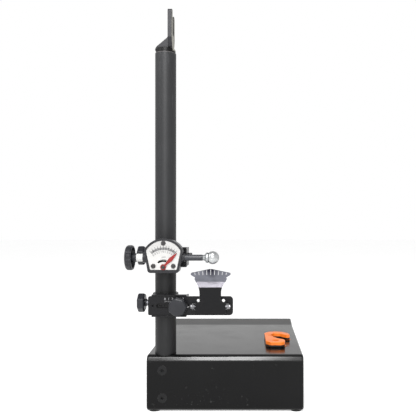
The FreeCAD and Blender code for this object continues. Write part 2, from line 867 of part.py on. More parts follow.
def collar(label, height):
    """Sliding collar: a ring on the post, a front flat, a clamp boss and a tie boss."""
    body = new_body(label, 0, 0, height)
    half = s.collar_height / 2
    turn(body, "z", [
        (-half, collar_bore),
        (-half, s.collar_diameter / 2 - s.collar_edge),
        (s.collar_edge - half, s.collar_diameter / 2),
        (half - s.collar_edge, s.collar_diameter / 2),
        (half, s.collar_diameter / 2 - s.collar_edge),
        (half, collar_bore),
    ])
    pad(body, "side", -s.clamp_boss_reach, s.clamp_boss_reach - collar_bore,
        (0, s.clamp_rise, s.clamp_boss_diameter / 2))
    tie_reach = s.bracket_right - s.tab_thickness
    pad(body, "side", collar_bore, tie_reach - collar_bore, (0, 0, s.tie_boss_diameter / 2))
    flat = s.collar_flat_width / 2
    pad(body, "front", 0, s.collar_flat, rectangle(-flat, flat, -half, half))
    cut(body, "top", -half - s.overrun, s.collar_height + 2 * s.overrun, (0, 0, collar_bore))
    pad_end = collar_bore + s.clamp_pad_thickness + s.clamp_travel + s.fit_gap
    cut(body, "side", -pad_end, pad_end,
        (0, s.clamp_rise, s.clamp_pad_diameter / 2 + s.fit_gap))
    cut(body, "side", -s.clamp_boss_reach - s.overrun, s.clamp_boss_reach,
        (0, s.clamp_rise, s.stud_diameter / 2 + s.fit_gap))
    bolt_end = tie_reach - s.tie_bolt_reach - s.overrun / 2
    cut(body, "side", bolt_end, s.tie_bolt_reach + s.overrun,
        (0, 0, s.tie_bolt_diameter / 2 + s.fit_gap))
    across = s.bracket_screw_spacing / 2
    depth = s.bracket_screw_depth + s.slide_gap
    thread = s.bracket_screw_diameter / 2 + s.fit_gap
    cut(body, "front", s.collar_flat - depth, depth + s.overrun,
        (-across, 0, thread), (across, 0, thread))
    return keep(body, label)


def bracket(label, height, outer_height, for_gauge):
    """Channel bracket: a web on the collar's flat, two flanges and an end tab bent back."""
    body = new_body(label, 0, 0, height)
    half = outer_height / 2
    left, right = -s.bracket_left, s.bracket_right
    pad(body, "front", s.collar_flat, s.web_thickness, rectangle(left, right, -half, half))
    for bottom in (half - s.flange_thickness, -half):
        pad(body, "front", s.collar_flat, channel_front - s.collar_flat,
            rectangle(left, right, bottom, bottom + s.flange_thickness))
    tab_half = s.collar_height / 2 - s.web_thickness
    pad(body, "side", right - s.tab_thickness, s.tab_thickness,
        rectangle(-web_front, s.tab_back, -tab_half, tab_half))
    cut(body, "side", right - s.tab_thickness - s.overrun, s.tab_thickness + 2 * s.overrun,
        (0, 0, s.tie_bolt_diameter / 2 + s.slide_gap))
    across = s.bracket_screw_spacing / 2
    clear = s.bracket_screw_diameter / 2 + s.slide_gap
    through = s.web_thickness + 2 * s.overrun
    cut(body, "front", s.collar_flat - s.overrun, through, (-across, 0, clear), (across, 0, clear))

    def screw_mouth(edge):
        round_edge = isinstance(edge.Curve, Part.Circle)
        return round_edge and is_near(-edge.BoundBox.YMin, web_front)
    dress(body, "Chamfer", s.bracket_screw_head / 2 - clear, screw_mouth)
    if for_gauge:
        hole = s.housing_screw_diameter / 2 + s.slide_gap
        cut(body, "front", s.collar_flat - s.overrun, through,
            (-s.housing_screw_left, 0, hole), (s.housing_screw_right, 0, hole))
    else:
        cut(body, "front", s.collar_flat - s.overrun, through,
            (s.bar_knob_across, 0, s.bar_stud_diameter / 2 + s.fit_gap))
    return keep(body, label)


def bracket_screws(label, height):
    """Two flat-head screws that hold a bracket's web to its collar."""
    screws = []
    head = s.bracket_screw_head / 2 - s.fit_gap
    shank = s.bracket_screw_diameter / 2
    tip = s.collar_flat - s.bracket_screw_depth
    for across in (-s.bracket_screw_spacing / 2, s.bracket_screw_spacing / 2):
        body = new_body("bracket_screw", across, 0, height)
        turn(body, "y", [
            (-web_front, 0),
            (-tip, 0),
            (-tip, shank),
            (head - shank - web_front, shank),
            (-web_front, head),
        ])
        blade = s.bracket_screw_diameter / 8
        cut(body, "front", web_front - 2 * blade, 2 * blade + s.overrun,
            rectangle(-2 * head, 2 * head, -blade, blade))
        screws.append(body)
    return group(label, screws)


def tie_bolt(label, height):
    """Hexagon bolt through a bracket's end tab into the collar's tie boss."""
    body = new_body(label, 0, 0, height)
    start = s.bracket_right
    tip = start - s.tab_thickness - s.tie_bolt_reach
    radius = s.tie_bolt_head / 2
    hexagon = [(radius * math.cos(math.radians(60 * k)), radius * math.sin(math.radians(60 * k)))
               for k in range(6)]
    pad(body, "side", tip, start - tip + s.tie_bolt_head_height / 2, (0, 0, s.tie_bolt_diameter / 2))
    pad(body, "side", start, s.tie_bolt_head_height, hexagon)

    def front_rim(edge):
        far = start + s.tie_bolt_head_height
        return is_near(edge.BoundBox.XMin, far) and is_near(edge.BoundBox.XMax, far)
    dress(body, "Chamfer", s.tie_bolt_head_height / 8, front_rim)
    return keep(body, label)


def clamp_pad(label, height):
    """Round brass pad that the clamp screw presses on the post."""
    body = new_body(label, 0, 0, height + s.clamp_rise)
    far = collar_bore + s.clamp_pad_thickness
    turn(body, "x", [
        (-far, 0), (-collar_bore, 0),
        (-collar_bore, s.clamp_pad_diameter / 2),
        (-far, s.clamp_pad_diameter / 2),
    ])
    return keep(body, label)


def lobed_knob(body, plane, start, diameter, thickness, hub_start):
    """Add a seven-lobed knob along a plane's normal, with its hub and the bore for its stud."""
    radius = diameter / 2
    turns = [2 * math.pi * k / KNOB_LOBES for k in range(KNOB_LOBES)]
    corners = [(radius * math.cos(angle), radius * math.sin(angle)) for angle in turns]
    pad(body, plane, start, thickness, corners)
    normal = {"front": FreeCAD.Vector(0, 1, 0), "side": FreeCAD.Vector(1, 0, 0)}[plane]
    dress(body, "Fillet", s.knob_lobe_radius, lambda edge: is_along(edge, normal))

    def rim(edge):
        ends = [normal.dot(vertex.Point) for vertex in edge.Vertexes]
        return not is_along(edge, normal) and abs(ends[0] - ends[-1]) < s.fit_gap.value
    dress(body, "Fillet", s.knob_edge_radius, rim)
    pad(body, plane, hub_start, s.knob_hub_length, (0, 0, s.knob_hub_diameter / 2))


def clamp_screw(name, height):
    """A clamp screw: its stud, and its knob pressed on the stud."""
    stud = new_body(name + "_stud", 0, 0, height + s.clamp_rise)
    tip = -(collar_bore + s.clamp_pad_thickness + s.fit_gap)
    seat = -(s.knob_offset + s.knob_grip_depth)
    chamfer = s.stud_diameter / 8
    turn(stud, "x", [
        (seat, 0), (tip, 0),
        (tip, s.stud_diameter / 2 - chamfer),
        (tip - chamfer, s.stud_diameter / 2),
        (seat, s.stud_diameter / 2),
    ])
    keep(stud, name + "_stud")
    knob = new_body(name + "_knob", 0, 0, height + s.clamp_rise)
    lobed_knob(knob, "side", -s.knob_offset - s.knob_thickness, s.knob_diameter,
               s.knob_thickness, -s.knob_offset)
    cut(knob, "side", seat, s.knob_grip_depth + s.knob_hub_length + s.overrun,
        (0, 0, s.stud_diameter / 2 + s.fit_gap))
    return keep(knob, name + "_knob")


# Gauge unit

def dial_outline(inset, foot_inset):
    """Return the dial's outline, drawn in: flat foot, flared sides and an arc on top."""
    middle = s.pivot_offset
    foot = s.housing_foot - inset
    shoulder = s.housing_shoulder - inset
    radius = s.housing_arc_radius - inset
    bottom = foot_inset - s.housing_bottom - s.pivot_drop
    rise = (radius * radius - shoulder * shoulder).root()
    top = s.housing_arc_rise + rise - s.pivot_drop
    return [
        (middle - foot, bottom),
        (middle + foot, bottom),
        (middle + shoulder, top),
        (middle, s.housing_arc_rise + radius - s.pivot_drop, radius, "ccw"),
        (middle - shoulder, top, radius, "ccw"),
    ]


def soften_dial(body, inset, front, back):
    """Round the feet and the shoulders of a dial outline that runs from front to back."""
    forward = FreeCAD.Vector(0, 1, 0)

    def is_corner(edge):
        box = edge.BoundBox
        spans = is_near(-box.YMin, front) and is_near(-box.YMax, back)
        aside = abs(box.XMin - s.pivot_offset.value) > s.face_screw_spread.value
        return spans and aside and is_along(edge, forward)
    dress(body, "Fillet", s.housing_corner_radius - inset,
          lambda edge: is_corner(edge) and edge.BoundBox.ZMin < 0)
    dress(body, "Fillet", s.housing_shoulder_radius - inset,
          lambda edge: is_corner(edge) and edge.BoundBox.ZMin > 0)


def face_screw_places():
    """Return the places of the three screws in the dial's face."""
    low = s.face_screw_low - s.pivot_drop
    return (
        (s.pivot_offset - s.face_screw_spread, low),
        (s.pivot_offset + s.face_screw_spread, low),
        (s.pivot_offset, s.face_screw_high - s.pivot_drop),
    )


def gauge_housing():
    """Die-cast dial housing: an open front, a ledge for the face, and bores for the plunger."""
    body = new_body("gauge_housing", 0, 0, s.gauge_height)
    none = as_length(0)
    pad(body, "front", s.housing_back, s.housing_depth, dial_outline(none, none))
    soften_dial(body, none, housing_front, s.housing_back)
    recess = s.rim_width - s.slide_gap
    cut(body, "front", face_back, s.face_recess + s.face_thickness + s.overrun,
        dial_outline(recess, s.foot_rim_width - s.slide_gap))
    soften_dial(body, recess, housing_front, face_back)
    cut(body, "front", cavity_back, face_back - cavity_back,
        dial_outline(s.rim_width + s.ledge_width, s.foot_rim_width + s.ledge_width))
    turn(body, "x", [
        (-s.sleeve_boss_reach, 0),
        (s.spring_left - s.sleeve_boss_reach, 0),
        (s.spring_left - s.sleeve_boss_reach, s.sleeve_boss_diameter / 2),
        (-s.sleeve_boss_reach, s.sleeve_boss_diameter / 2),
    ], s.plunger_ahead)
    root = s.plunger_right + s.plunger_flange_width
    turn(body, "x", [
        (root, 0),
        (s.rod_boss_reach, 0),
        (s.rod_boss_reach, s.rod_boss_tip / 2),
        (root, s.rod_boss_root / 2),
    ], s.plunger_ahead)
    post = s.face_post_diameter / 2
    posts = [(u, v, post) for u, v in face_screw_places()]
    posts.append((s.pivot_offset, -s.pivot_drop, post))
    pad(body, "front", cavity_back - s.overrun / 2, face_back - cavity_back + s.overrun / 2, *posts)
    groove = s.spring_mean_diameter / 2 + s.spring_wire / 2 + s.groove_slack
    cut(body, "side", -s.spring_left, s.spring_left + s.plunger_right + s.overrun,
        (-s.plunger_ahead, 0, groove))
    cut(body, "side", -s.sleeve_reach, s.sleeve_reach,
        (-s.plunger_ahead, 0, s.sleeve_diameter / 2 + s.fit_gap))
    cut(body, "side", s.plunger_right, s.rod_boss_reach,
        (-s.plunger_ahead, 0, s.rod_diameter / 2 + s.fit_gap))
    tapped = s.face_screw_diameter / 2 + s.fit_gap
    holes = [(u, v, tapped) for u, v in face_screw_places()]
    cut(body, "front", face_back - s.face_screw_length, s.face_screw_length + s.overrun, *holes)
    cut(body, "front", face_back - s.face_screw_length, s.face_screw_length + s.overrun,
        (s.pivot_offset, -s.pivot_drop, s.pivot_diameter / 2 + s.fit_gap))
    boss = s.housing_boss_diameter / 2
    pad(body, "front", web_front, s.housing_back - web_front,
        (-s.housing_screw_left, 0, boss), (s.housing_screw_right, 0, boss))
    thread = s.housing_screw_diameter / 2 + s.fit_gap
    depth = s.housing_screw_length - s.web_thickness + s.slide_gap
    cut(body, "front", web_front - s.overrun, depth + s.overrun,
        (-s.housing_screw_left, 0, thread), (s.housing_screw_right, 0, thread))
    return keep(body, "gauge_housing")


def crescent():
    """Return the outline of the curved slot that the pointer's pin passes through."""
    outer = s.pin_orbit + s.crescent_width / 2
    inner = s.pin_orbit - s.crescent_width / 2
    cap = s.crescent_width / 2

    def place(radius, angle):
        turned = math.radians(angle)
        return (s.pivot_offset + radius * math.sin(turned), radius * math.cos(turned) - s.pivot_drop)
    wide = CRESCENT_HALF_ANGLE
    past = s.pin_orbit * math.radians(wide) + cap
    tip = math.degrees(past.value / s.pin_orbit.value)
    half = inner * math.sin(math.radians(wide))
    rise = s.crescent_belly - inner * math.cos(math.radians(wide))
    belly = (half * half + rise * rise) / (2 * rise)
    return [
        place(outer, wide) + (outer, "cw"),
        place(s.pin_orbit, tip) + (cap, "cw"),
        place(inner, wide) + (cap, "cw"),
        place(s.crescent_belly, 0) + (belly, "ccw"),
        place(inner, -wide) + (belly, "ccw"),
        place(s.pin_orbit, -tip) + (cap, "cw"),
        place(outer, -wide) + (cap, "cw"),
        place(outer, 0) + (outer, "cw"),
    ]


def gauge_face_plate():
    """White face plate of the dial, with its screw holes and the pointer pin's curved slot."""
    body = new_body("gauge_face_plate", 0, 0, s.gauge_height)
    pad(body, "front", face_back, s.face_thickness, dial_outline(s.rim_width, s.foot_rim_width))
    soften_dial(body, s.rim_width, face_front, face_back)
    through = s.face_thickness + 2 * s.overrun
    clear = s.face_screw_diameter / 2 + s.slide_gap
    holes = [(u, v, clear) for u, v in face_screw_places()]
    holes.append((s.pivot_offset, -s.pivot_drop, s.pivot_diameter / 2 + s.slide_gap))
    cut(body, "front", face_back - s.overrun, through, *holes)
    cut(body, "front", face_back - s.overrun, through, crescent())
    return keep(body, "gauge_face_plate")


CROWN_SHARE = 0.66


def pan_head_screw(label, across, height, under_head, length, diameter, head, head_height,
                   backwards=False):
    """Pan-head screw along the gauge's depth, with a slotted head."""
    body = new_body(label, across, 0, height)
    way = -1 if backwards else 1
    shank = diameter / 2
    rim = head / 2
    far = under_head + way * head_height
    crown = "ccw" if backwards else "cw"
    turn(body, "y", [
        (-(under_head - way * length), 0),
        (-(under_head - way * length), shank),
        (-under_head, shank),
        (-under_head, rim),
        (-(under_head + way * head_height / 2), rim),
        (-far, rim - head_height / 2, head_height * CROWN_SHARE, crown),
        (-far, 0),
    ])
    half = diameter / 8
    start = far - head_height / 2 if not backwards else far - s.overrun
    cut(body, "front", start, head_height / 2 + s.overrun, rectangle(-head, head, -half, half))
    return body


def gauge_face_screws():
    """The three screws that hold the face plate."""
    screws = []
    for across, up in face_screw_places():
        screws.append(pan_head_screw("face_screw", across, up + s.gauge_height, face_front,
                                     s.face_screw_length, s.face_screw_diameter,
                                     s.face_screw_head, s.face_screw_head_height))
    return group("gauge_face_screws", screws)


def housing_screws():
    """The two screws behind the bracket's web that hold the housing."""
    screws = []
    for across in (-s.housing_screw_left, s.housing_screw_right):
        screws.append(pan_head_screw("housing_screw", across, s.gauge_height, s.collar_flat,
                                     s.housing_screw_length, s.housing_screw_diameter,
                                     s.housing_screw_head, s.housing_screw_head_height, True))
    return group("gauge_housing_screws", screws)


def pointer_backing():
    """Red tab under the pointer, which keeps it off the face."""
    body = new_body("pointer_backing", s.pivot_offset, 0, s.gauge_height - s.pivot_drop)
    half = s.backing_tab_width / 2
    pad(body, "front", face_front, s.backing_thickness, (0, 0, s.pointer_hub / 2 - s.soft_gap))
    pad(body, "front", face_front, s.backing_thickness, rectangle(-half, half, -s.backing_tab_drop, 0))
    cut(body, "front", face_front - s.overrun, s.backing_thickness + 2 * s.overrun,
        (0, 0, s.pivot_diameter / 2 + s.slide_gap))
    return keep(body, "pointer_backing")


def pointer_pivot_screw():
    """Shoulder screw that the pointer turns on."""
    body = pan_head_screw("pointer_pivot_screw", s.pivot_offset, s.gauge_height - s.pivot_drop,
                          pointer_front + s.pointer_gap, s.face_screw_length, s.pivot_diameter,
                          s.pivot_head, s.pivot_head_height)
    return keep(body, "pointer_pivot_screw")


POINTER_SHARES = (
    (0.34, 0.0), (0.27, 0.26), (0.5, 0.54), (0.42, 0.66), (0.07, 1.0),
    (-0.07, 1.0), (-0.42, 0.66), (-0.5, 0.54), (-0.27, 0.26), (-0.34, 0.0),
)


def leaning(x, y):
    """Turn a place on the upright pointer to where it lies at rest."""
    lean = math.radians(POINTER_REST)
    return (x * math.cos(lean) + y * math.sin(lean), y * math.cos(lean) - x * math.sin(lean))


def pointer():
    """Leaf-shaped red pointer, with its hub."""
    body = new_body("pointer", s.pivot_offset, 0, s.gauge_height - s.pivot_drop)
    leaf = [leaning(u * s.pointer_width, v * s.pointer_length) for u, v in POINTER_SHARES]
    pad(body, "front", pointer_back, s.pointer_thickness, (0, 0, s.pointer_hub / 2))
    pad(body, "front", pointer_back, s.pointer_thickness, leaf)
    cut(body, "front", pointer_back - s.overrun, s.pointer_thickness + 2 * s.overrun,
        (0, 0, s.pivot_diameter / 2 + s.fit_gap))
    return keep(body, "pointer")


def pointer_pin():
    """Pin behind the pointer, which the plunger's yoke carries along."""
    across, up = leaning(as_length(0), s.pin_orbit)
    body = new_body("pointer_pin", s.pivot_offset + across, 0, s.gauge_height - s.pivot_drop + up)
    tip = yoke_front - s.yoke_slot_depth + s.pin_tip_gap
    pad(body, "front", tip, pointer_back - tip, (0, 0, s.pin_diameter / 2))
    return keep(body, "pointer_pin")


def plunger_core():
    """White plunger: a sleeve bored for the reach rod, a spring seat, a stop flange and a yoke."""
    body = new_body("plunger_core", 0, -s.plunger_ahead, s.gauge_height)
    outer = s.sleeve_diameter / 2
    seat = s.plunger_flange_diameter / 2
    seat_left = yoke_left - s.spring_seat_width
    flange_left = s.plunger_right - s.plunger_flange_width
    bore = s.rod_diameter / 2 + s.fit_gap
    thread = s.stem_diameter / 2 + s.fit_gap
    turn(body, "x", [
        (-s.sleeve_reach, thread),
        (rod_bore_left, thread),
        (rod_bore_left, bore),
        (s.plunger_right, bore),
        (s.plunger_right, seat),
        (flange_left, seat),
        (flange_left, outer),
        (yoke_left, outer),
        (yoke_left, seat),
        (seat_left, seat),
        (seat_left, outer),
        (-s.sleeve_reach, outer),
    ])
    front = yoke_front - s.plunger_ahead
    back = outer / 2 + bore / 2
    pad(body, "front", back, front - back,
        rectangle(yoke_left, yoke_left + s.yoke_width, -s.yoke_drop, s.yoke_rise))
    half = s.pin_diameter / 2 + s.pin_slack
    top = s.pin_orbit - s.pivot_drop + half
    cut(body, "front", front - s.yoke_slot_depth, s.yoke_slot_depth + s.overrun,
        rectangle(pin_across - half, pin_across + half, -s.yoke_drop - s.overrun, top))
    return keep(body, "plunger_core")


def coil_points(start, length, mean_diameter, turns):
    """Return places along a coil about the X axis, which starts and ends at its lowest point."""
    count = int(turns * RUNS_PER_TURN)
    radius = mean_diameter / 2
    points = []
    for step in range(count + 1):
        angle = 2 * math.pi * step / RUNS_PER_TURN
        along = start + length * step / count
        points.append(FreeCAD.Vector(along, radius * math.sin(angle), -radius * math.cos(angle)))
    return points


def round_wire(points, thickness):
    """Return a round wire that runs through the points."""
    section = Part.Wire(Part.makeCircle(thickness / 2, points[0], points[1].sub(points[0])))
    return Part.makePolygon(points).makePipeShell([section], True, False, MITRED)


def return_spring():
    """Compression spring between the housing's left wall and the plunger's seat."""
    wire = s.spring_wire.value
    start = wire / 2 - s.spring_left.value
    end = (yoke_left - s.spring_seat_width).value - wire / 2
    points = coil_points(start, end - start, s.spring_mean_diameter.value, s.spring_turns.value)
    return shape_part("return_spring", round_wire(points, wire), 0, -s.plunger_ahead, s.gauge_height)


# Reach rod and ball

def reach_rod():
    """Black rod that carries the ball, bored at both ends."""
    body = new_body("reach_rod", 0, -s.plunger_ahead, s.gauge_height)
    radius = s.rod_diameter / 2
    stem = s.stem_diameter / 2
    shank = s.ball_shank_diameter / 2 + s.fit_gap
    chamfer = radius / 8
    turn(body, "x", [
        (s.rod_left, stem),
        (s.rod_left + s.stem_seat, stem),
        (s.rod_left + s.stem_seat, 0),
        (s.rod_right - s.ball_shank_seat - s.slide_gap, 0),
        (s.rod_right - s.ball_shank_seat - s.slide_gap, shank),
        (s.rod_right, shank),
        (s.rod_right, radius - chamfer),
        (s.rod_right - chamfer, radius),
        (s.rod_left, radius),
    ])
    return keep(body, "reach_rod")


def reach_stem():
    """Threaded stem between the big knob and the rod."""
    body = new_body("reach_stem", 0, -s.plunger_ahead, s.gauge_height)
    left = s.reach_knob_left - s.reach_knob_floor / 2
    right = s.rod_left + s.stem_seat - s.fit_gap
    turn(body, "x", [
        (-left, 0), (right, 0), (right, s.stem_diameter / 2), (-left, s.stem_diameter / 2),
    ])
    return keep(body, "reach_stem")


def reach_knob():
    """Large moulded knob, hollow behind its rim, with a hub on the stem and grip flutes."""
    body = new_body("reach_knob", 0, -s.plunger_ahead, s.gauge_height)
    radius = s.reach_knob_diameter / 2
    floor = s.reach_knob_floor - s.reach_knob_left
    stem_end = s.reach_knob_floor / 2 - s.reach_knob_left
    bore = s.stem_diameter / 2 + s.fit_gap
    edge = s.reach_knob_round
    turn(body, "x", [
        (-s.reach_knob_left, 0),
        (stem_end, 0),
        (stem_end, bore),
        (-s.reach_hub_right, bore),
        (-s.reach_hub_right, s.reach_hub_diameter / 2),
        (floor, s.reach_hub_diameter / 2),
        (floor, radius - s.reach_knob_wall - edge / 2),
        (-s.reach_knob_right, radius - s.reach_knob_wall),
        (-s.reach_knob_right, radius - edge / 4),
        (-s.reach_knob_right - edge / 2, radius),
        (edge - s.reach_knob_left, radius),
        (-s.reach_knob_left, radius - edge, edge, "ccw"),
    ])
    flute = radius + s.grip_diameter / 2 - s.grip_depth
    groove = cut(body, "side", -s.reach_knob_left - s.overrun, s.reach_knob_left,
                 (flute, 0, s.grip_diameter / 2))
    repeat_round(body, groove, "N_Axis", REACH_KNOB_GRIPS)
    return keep(body, "reach_knob")


def contact_ball():
    """Chromed ball that touches the rim, on a shank that turns in the rod."""
    body = new_body("contact_ball", 0, -s.plunger_ahead, s.gauge_height)
    radius = s.ball_diameter / 2
    back = s.ball_centre - s.cup_right
    flat = (radius * radius - back * back).root()
    shank = s.ball_shank_diameter / 2
    start = s.rod_right - s.ball_shank_seat
    turn(body, "x", [
        (start, 0),
        (start, shank),
        (s.cup_right, shank),
        (s.cup_right, flat),
        (s.ball_centre, radius, radius, "cw"),
        (s.ball_centre + radius, 0, radius, "cw"),
    ])
    return keep(body, "contact_ball")


def ball_cup():
    """Plated ferrule between the rod and the ball."""
    body = new_body("ball_cup", 0, -s.plunger_ahead, s.gauge_height)
    bore = s.ball_shank_diameter / 2 + s.fit_gap
    rim = s.cup_diameter / 2
    neck = bore + (rim - bore) / 4
    length = s.cup_right - s.rod_right
    step = s.rod_right + length / 2
    turn(body, "x", [
        (s.rod_right + s.fit_gap, bore),
        (s.rod_right + s.fit_gap, neck),
        (step - length / 8, neck + (rim - neck) / 4),
        (step, rim - length / 16),
        (step + length / 8, rim),
        (s.cup_right - length / 8, rim),
        (s.cup_right - s.fit_gap, rim - length / 8),
        (s.cup_right - s.fit_gap, bore),
    ])
    return keep(body, "ball_cup")


# Radial unit

def radial_bar():
    """Slotted bar that carries the feeler, with square corners on the left and round on the right."""
    body = new_body("radial_bar", 0, 0, radial_height)
    half = s.bar_height / 2
    right = s.bar_length - s.bar_left
    pad(body, "front", bar_back, s.bar_thickness, rectangle(-s.bar_left, right, -half, half))
    forward = FreeCAD.Vector(0, 1, 0)
    dress(body, "Fillet", s.bar_left_radius,
          lambda edge: is_along(edge, forward) and edge.BoundBox.XMin < 0)
    dress(body, "Fillet", s.bar_right_radius,
          lambda edge: is_along(edge, forward) and is_near(edge.BoundBox.XMin, right))
    start = bar_back - s.overrun
    through = s.bar_thickness + 2 * s.overrun
    end = s.bar_slot_height / 2
    left_end = end - s.bar_slot_left
    right_end = s.bar_slot_right - end
    slot = [
        (left_end, -end, end, "ccw"),
        (right_end, -end),
        (right_end + end, 0, end, "ccw"),
        (right_end, end, end, "ccw"),
        (left_end, end),
        (left_end - end, 0, end, "ccw"),
    ]
    cut(body, "front", start, through, slot)
    cut(body, "front", start, through, (-s.bar_pilot_left, 0, s.bar_pilot_diameter / 2))
    leg = s.leg_hole_diameter / 2
    for side in (-1, 1):
        across = s.feeler_centre + side * s.leg_hole_offset
        cut(body, "front", start, through, (across, s.leg_hole_rise, leg))
        cut(body, "front", start, through,
            (s.feeler_centre + side * s.lug_spread / 4, 0, s.lug_rivet_diameter / 2 + s.fit_gap))
    return keep(body, "radial_bar")


def feeler_lugs():
    """Folded bracket on the bar whose two ears hold the hinge pin."""
    body = new_body("feeler_lugs", s.feeler_centre, 0, radial_height)
    half = s.lug_spread / 2
    up = s.lug_height / 2
    pad(body, "front", bar_front, s.lug_sheet, rectangle(-half, half, -up, up))
    reach = feeler_hinge
    for left in (-half, half - s.lug_sheet):
        pad(body, "side", left, s.lug_sheet, rectangle(-reach, -bar_front, -up, up))
        pad(body, "side", left, s.lug_sheet, (-reach, 0, s.hinge_pin_diameter))
    cut(body, "side", -half - s.overrun, s.lug_spread + 2 * s.overrun,
        (-reach, 0, s.hinge_pin_diameter / 2 + s.fit_gap))
    for side in (-1, 1):
        cut(body, "front", bar_front - s.overrun, s.lug_sheet + 2 * s.overrun,
            (side * s.lug_spread / 4, 0, s.lug_rivet_diameter / 2 + s.fit_gap))
    return keep(body, "feeler_lugs")


def lug_rivets():
    """Two rivets that hold the lugs to the bar."""
    rivets = []
    shank = s.lug_rivet_diameter / 2
    head = shank * 2
    low = shank / 2
    for side in (-1, 1):
        across = s.feeler_centre + side * s.lug_spread / 4
        body = new_body("lug_rivet", across, 0, radial_height)
        front = bar_front + s.lug_sheet
        turn(body, "y", [
            (-bar_back - s.fit_gap, 0),
            (-bar_back - s.fit_gap, shank),
            (-front, shank),
            (-front, head),
            (-front - low, head - low),
            (-front - low, 0),
        ])
        rivets.append(body)
    return group("lug_rivets", rivets)


def hinge_pin():
    """Pin that the feeler swings on."""
    body = new_body("feeler_hinge_pin", s.feeler_centre, -feeler_hinge, radial_height)
    half = s.hinge_pin_length / 2
    radius = s.hinge_pin_diameter / 2
    tip = radius / 4
    turn(body, "x", [
        (-half, 0), (half, 0), (half, radius - tip), (half - tip, radius),
        (tip - half, radius), (-half, radius - tip),
    ])
    return keep(body, "feeler_hinge_pin")


def hinge_clips():
    """Two retaining rings near the pin's ends."""
    rings = []
    for side in (-1, 1):
        body = new_body("hinge_clip", s.feeler_centre, -feeler_hinge, radial_height)
        outer = s.hinge_pin_length / 2 - s.hinge_pin_diameter / 4
        start = outer - s.clip_thickness if side > 0 else -outer
        pad(body, "side", start, s.clip_thickness, (0, 0, s.clip_diameter / 2))
        cut(body, "side", start - s.overrun, s.clip_thickness + 2 * s.overrun,
            (0, 0, s.hinge_pin_diameter / 2 + s.fit_gap))
        rings.append(body)
    return group("hinge_clips", rings)


def torsion_springs():
    """Two coils on the pin, outside the feeler's ears, each with a leg back to the bar."""
    wire = s.torsion_wire.value
    mean = s.torsion_mean_diameter.value
    length = wire * s.torsion_turns.value * TORSION_PITCH_SHARE
    start = (s.feeler_skirt_width / 2 + s.soft_gap).value + wire / 2
    reach = (s.hinge_ahead - bar_front).value
    pieces = []
    for side in (-1, 1):
        points = coil_points(side * start, side * length, mean, s.torsion_turns.value)
        points.append(FreeCAD.Vector(points[-1].x, reach, points[-1].z))
        pieces.append(round_wire(points, wire))
    shape = Part.makeCompound(pieces)
    return shape_part("feeler_springs", shape, s.feeler_centre, -feeler_hinge, radial_height)


def bar_clamp_washer():
    """Washer under the bar's knob."""
    body = new_body("bar_clamp_washer", s.bar_knob_across, 0, radial_height)
    pad(body, "front", bar_front, s.bar_washer_thickness, (0, 0, s.bar_washer_diameter / 2))
    cut(body, "front", bar_front - s.overrun, s.bar_washer_thickness + 2 * s.overrun,
        (0, 0, s.bar_stud_diameter / 2 + s.fit_gap))
    return keep(body, "bar_clamp_washer")


def bar_clamp():
    """The bar's clamp: a stud screwed into the bracket's web, and its knob."""
    stud = new_body("bar_clamp_stud", s.bar_knob_across, 0, radial_height)
    knob_back = bar_front + s.bar_washer_thickness + s.slide_gap
    seat = knob_back + s.knob_grip_depth
    radius = s.bar_stud_diameter / 2
    pad(stud, "front", s.collar_flat, seat - s.collar_flat, (0, 0, radius))
    keep(stud, "bar_clamp_stud")
    knob = new_body("bar_clamp_knob", s.bar_knob_across, 0, radial_height)
    plate_back = knob_back + s.knob_hub_length / 2
    lobed_knob(knob, "front", plate_back, s.bar_knob_diameter, s.bar_knob_thickness, knob_back)
    cut(knob, "front", knob_back - s.overrun, s.knob_grip_depth + s.overrun, (0, 0, radius + s.fit_gap))
    return keep(knob, "bar_clamp_knob")


# Feeler

WING_TIP_SHARES = ((0.6, -0.8), (0.176, 0.9844))


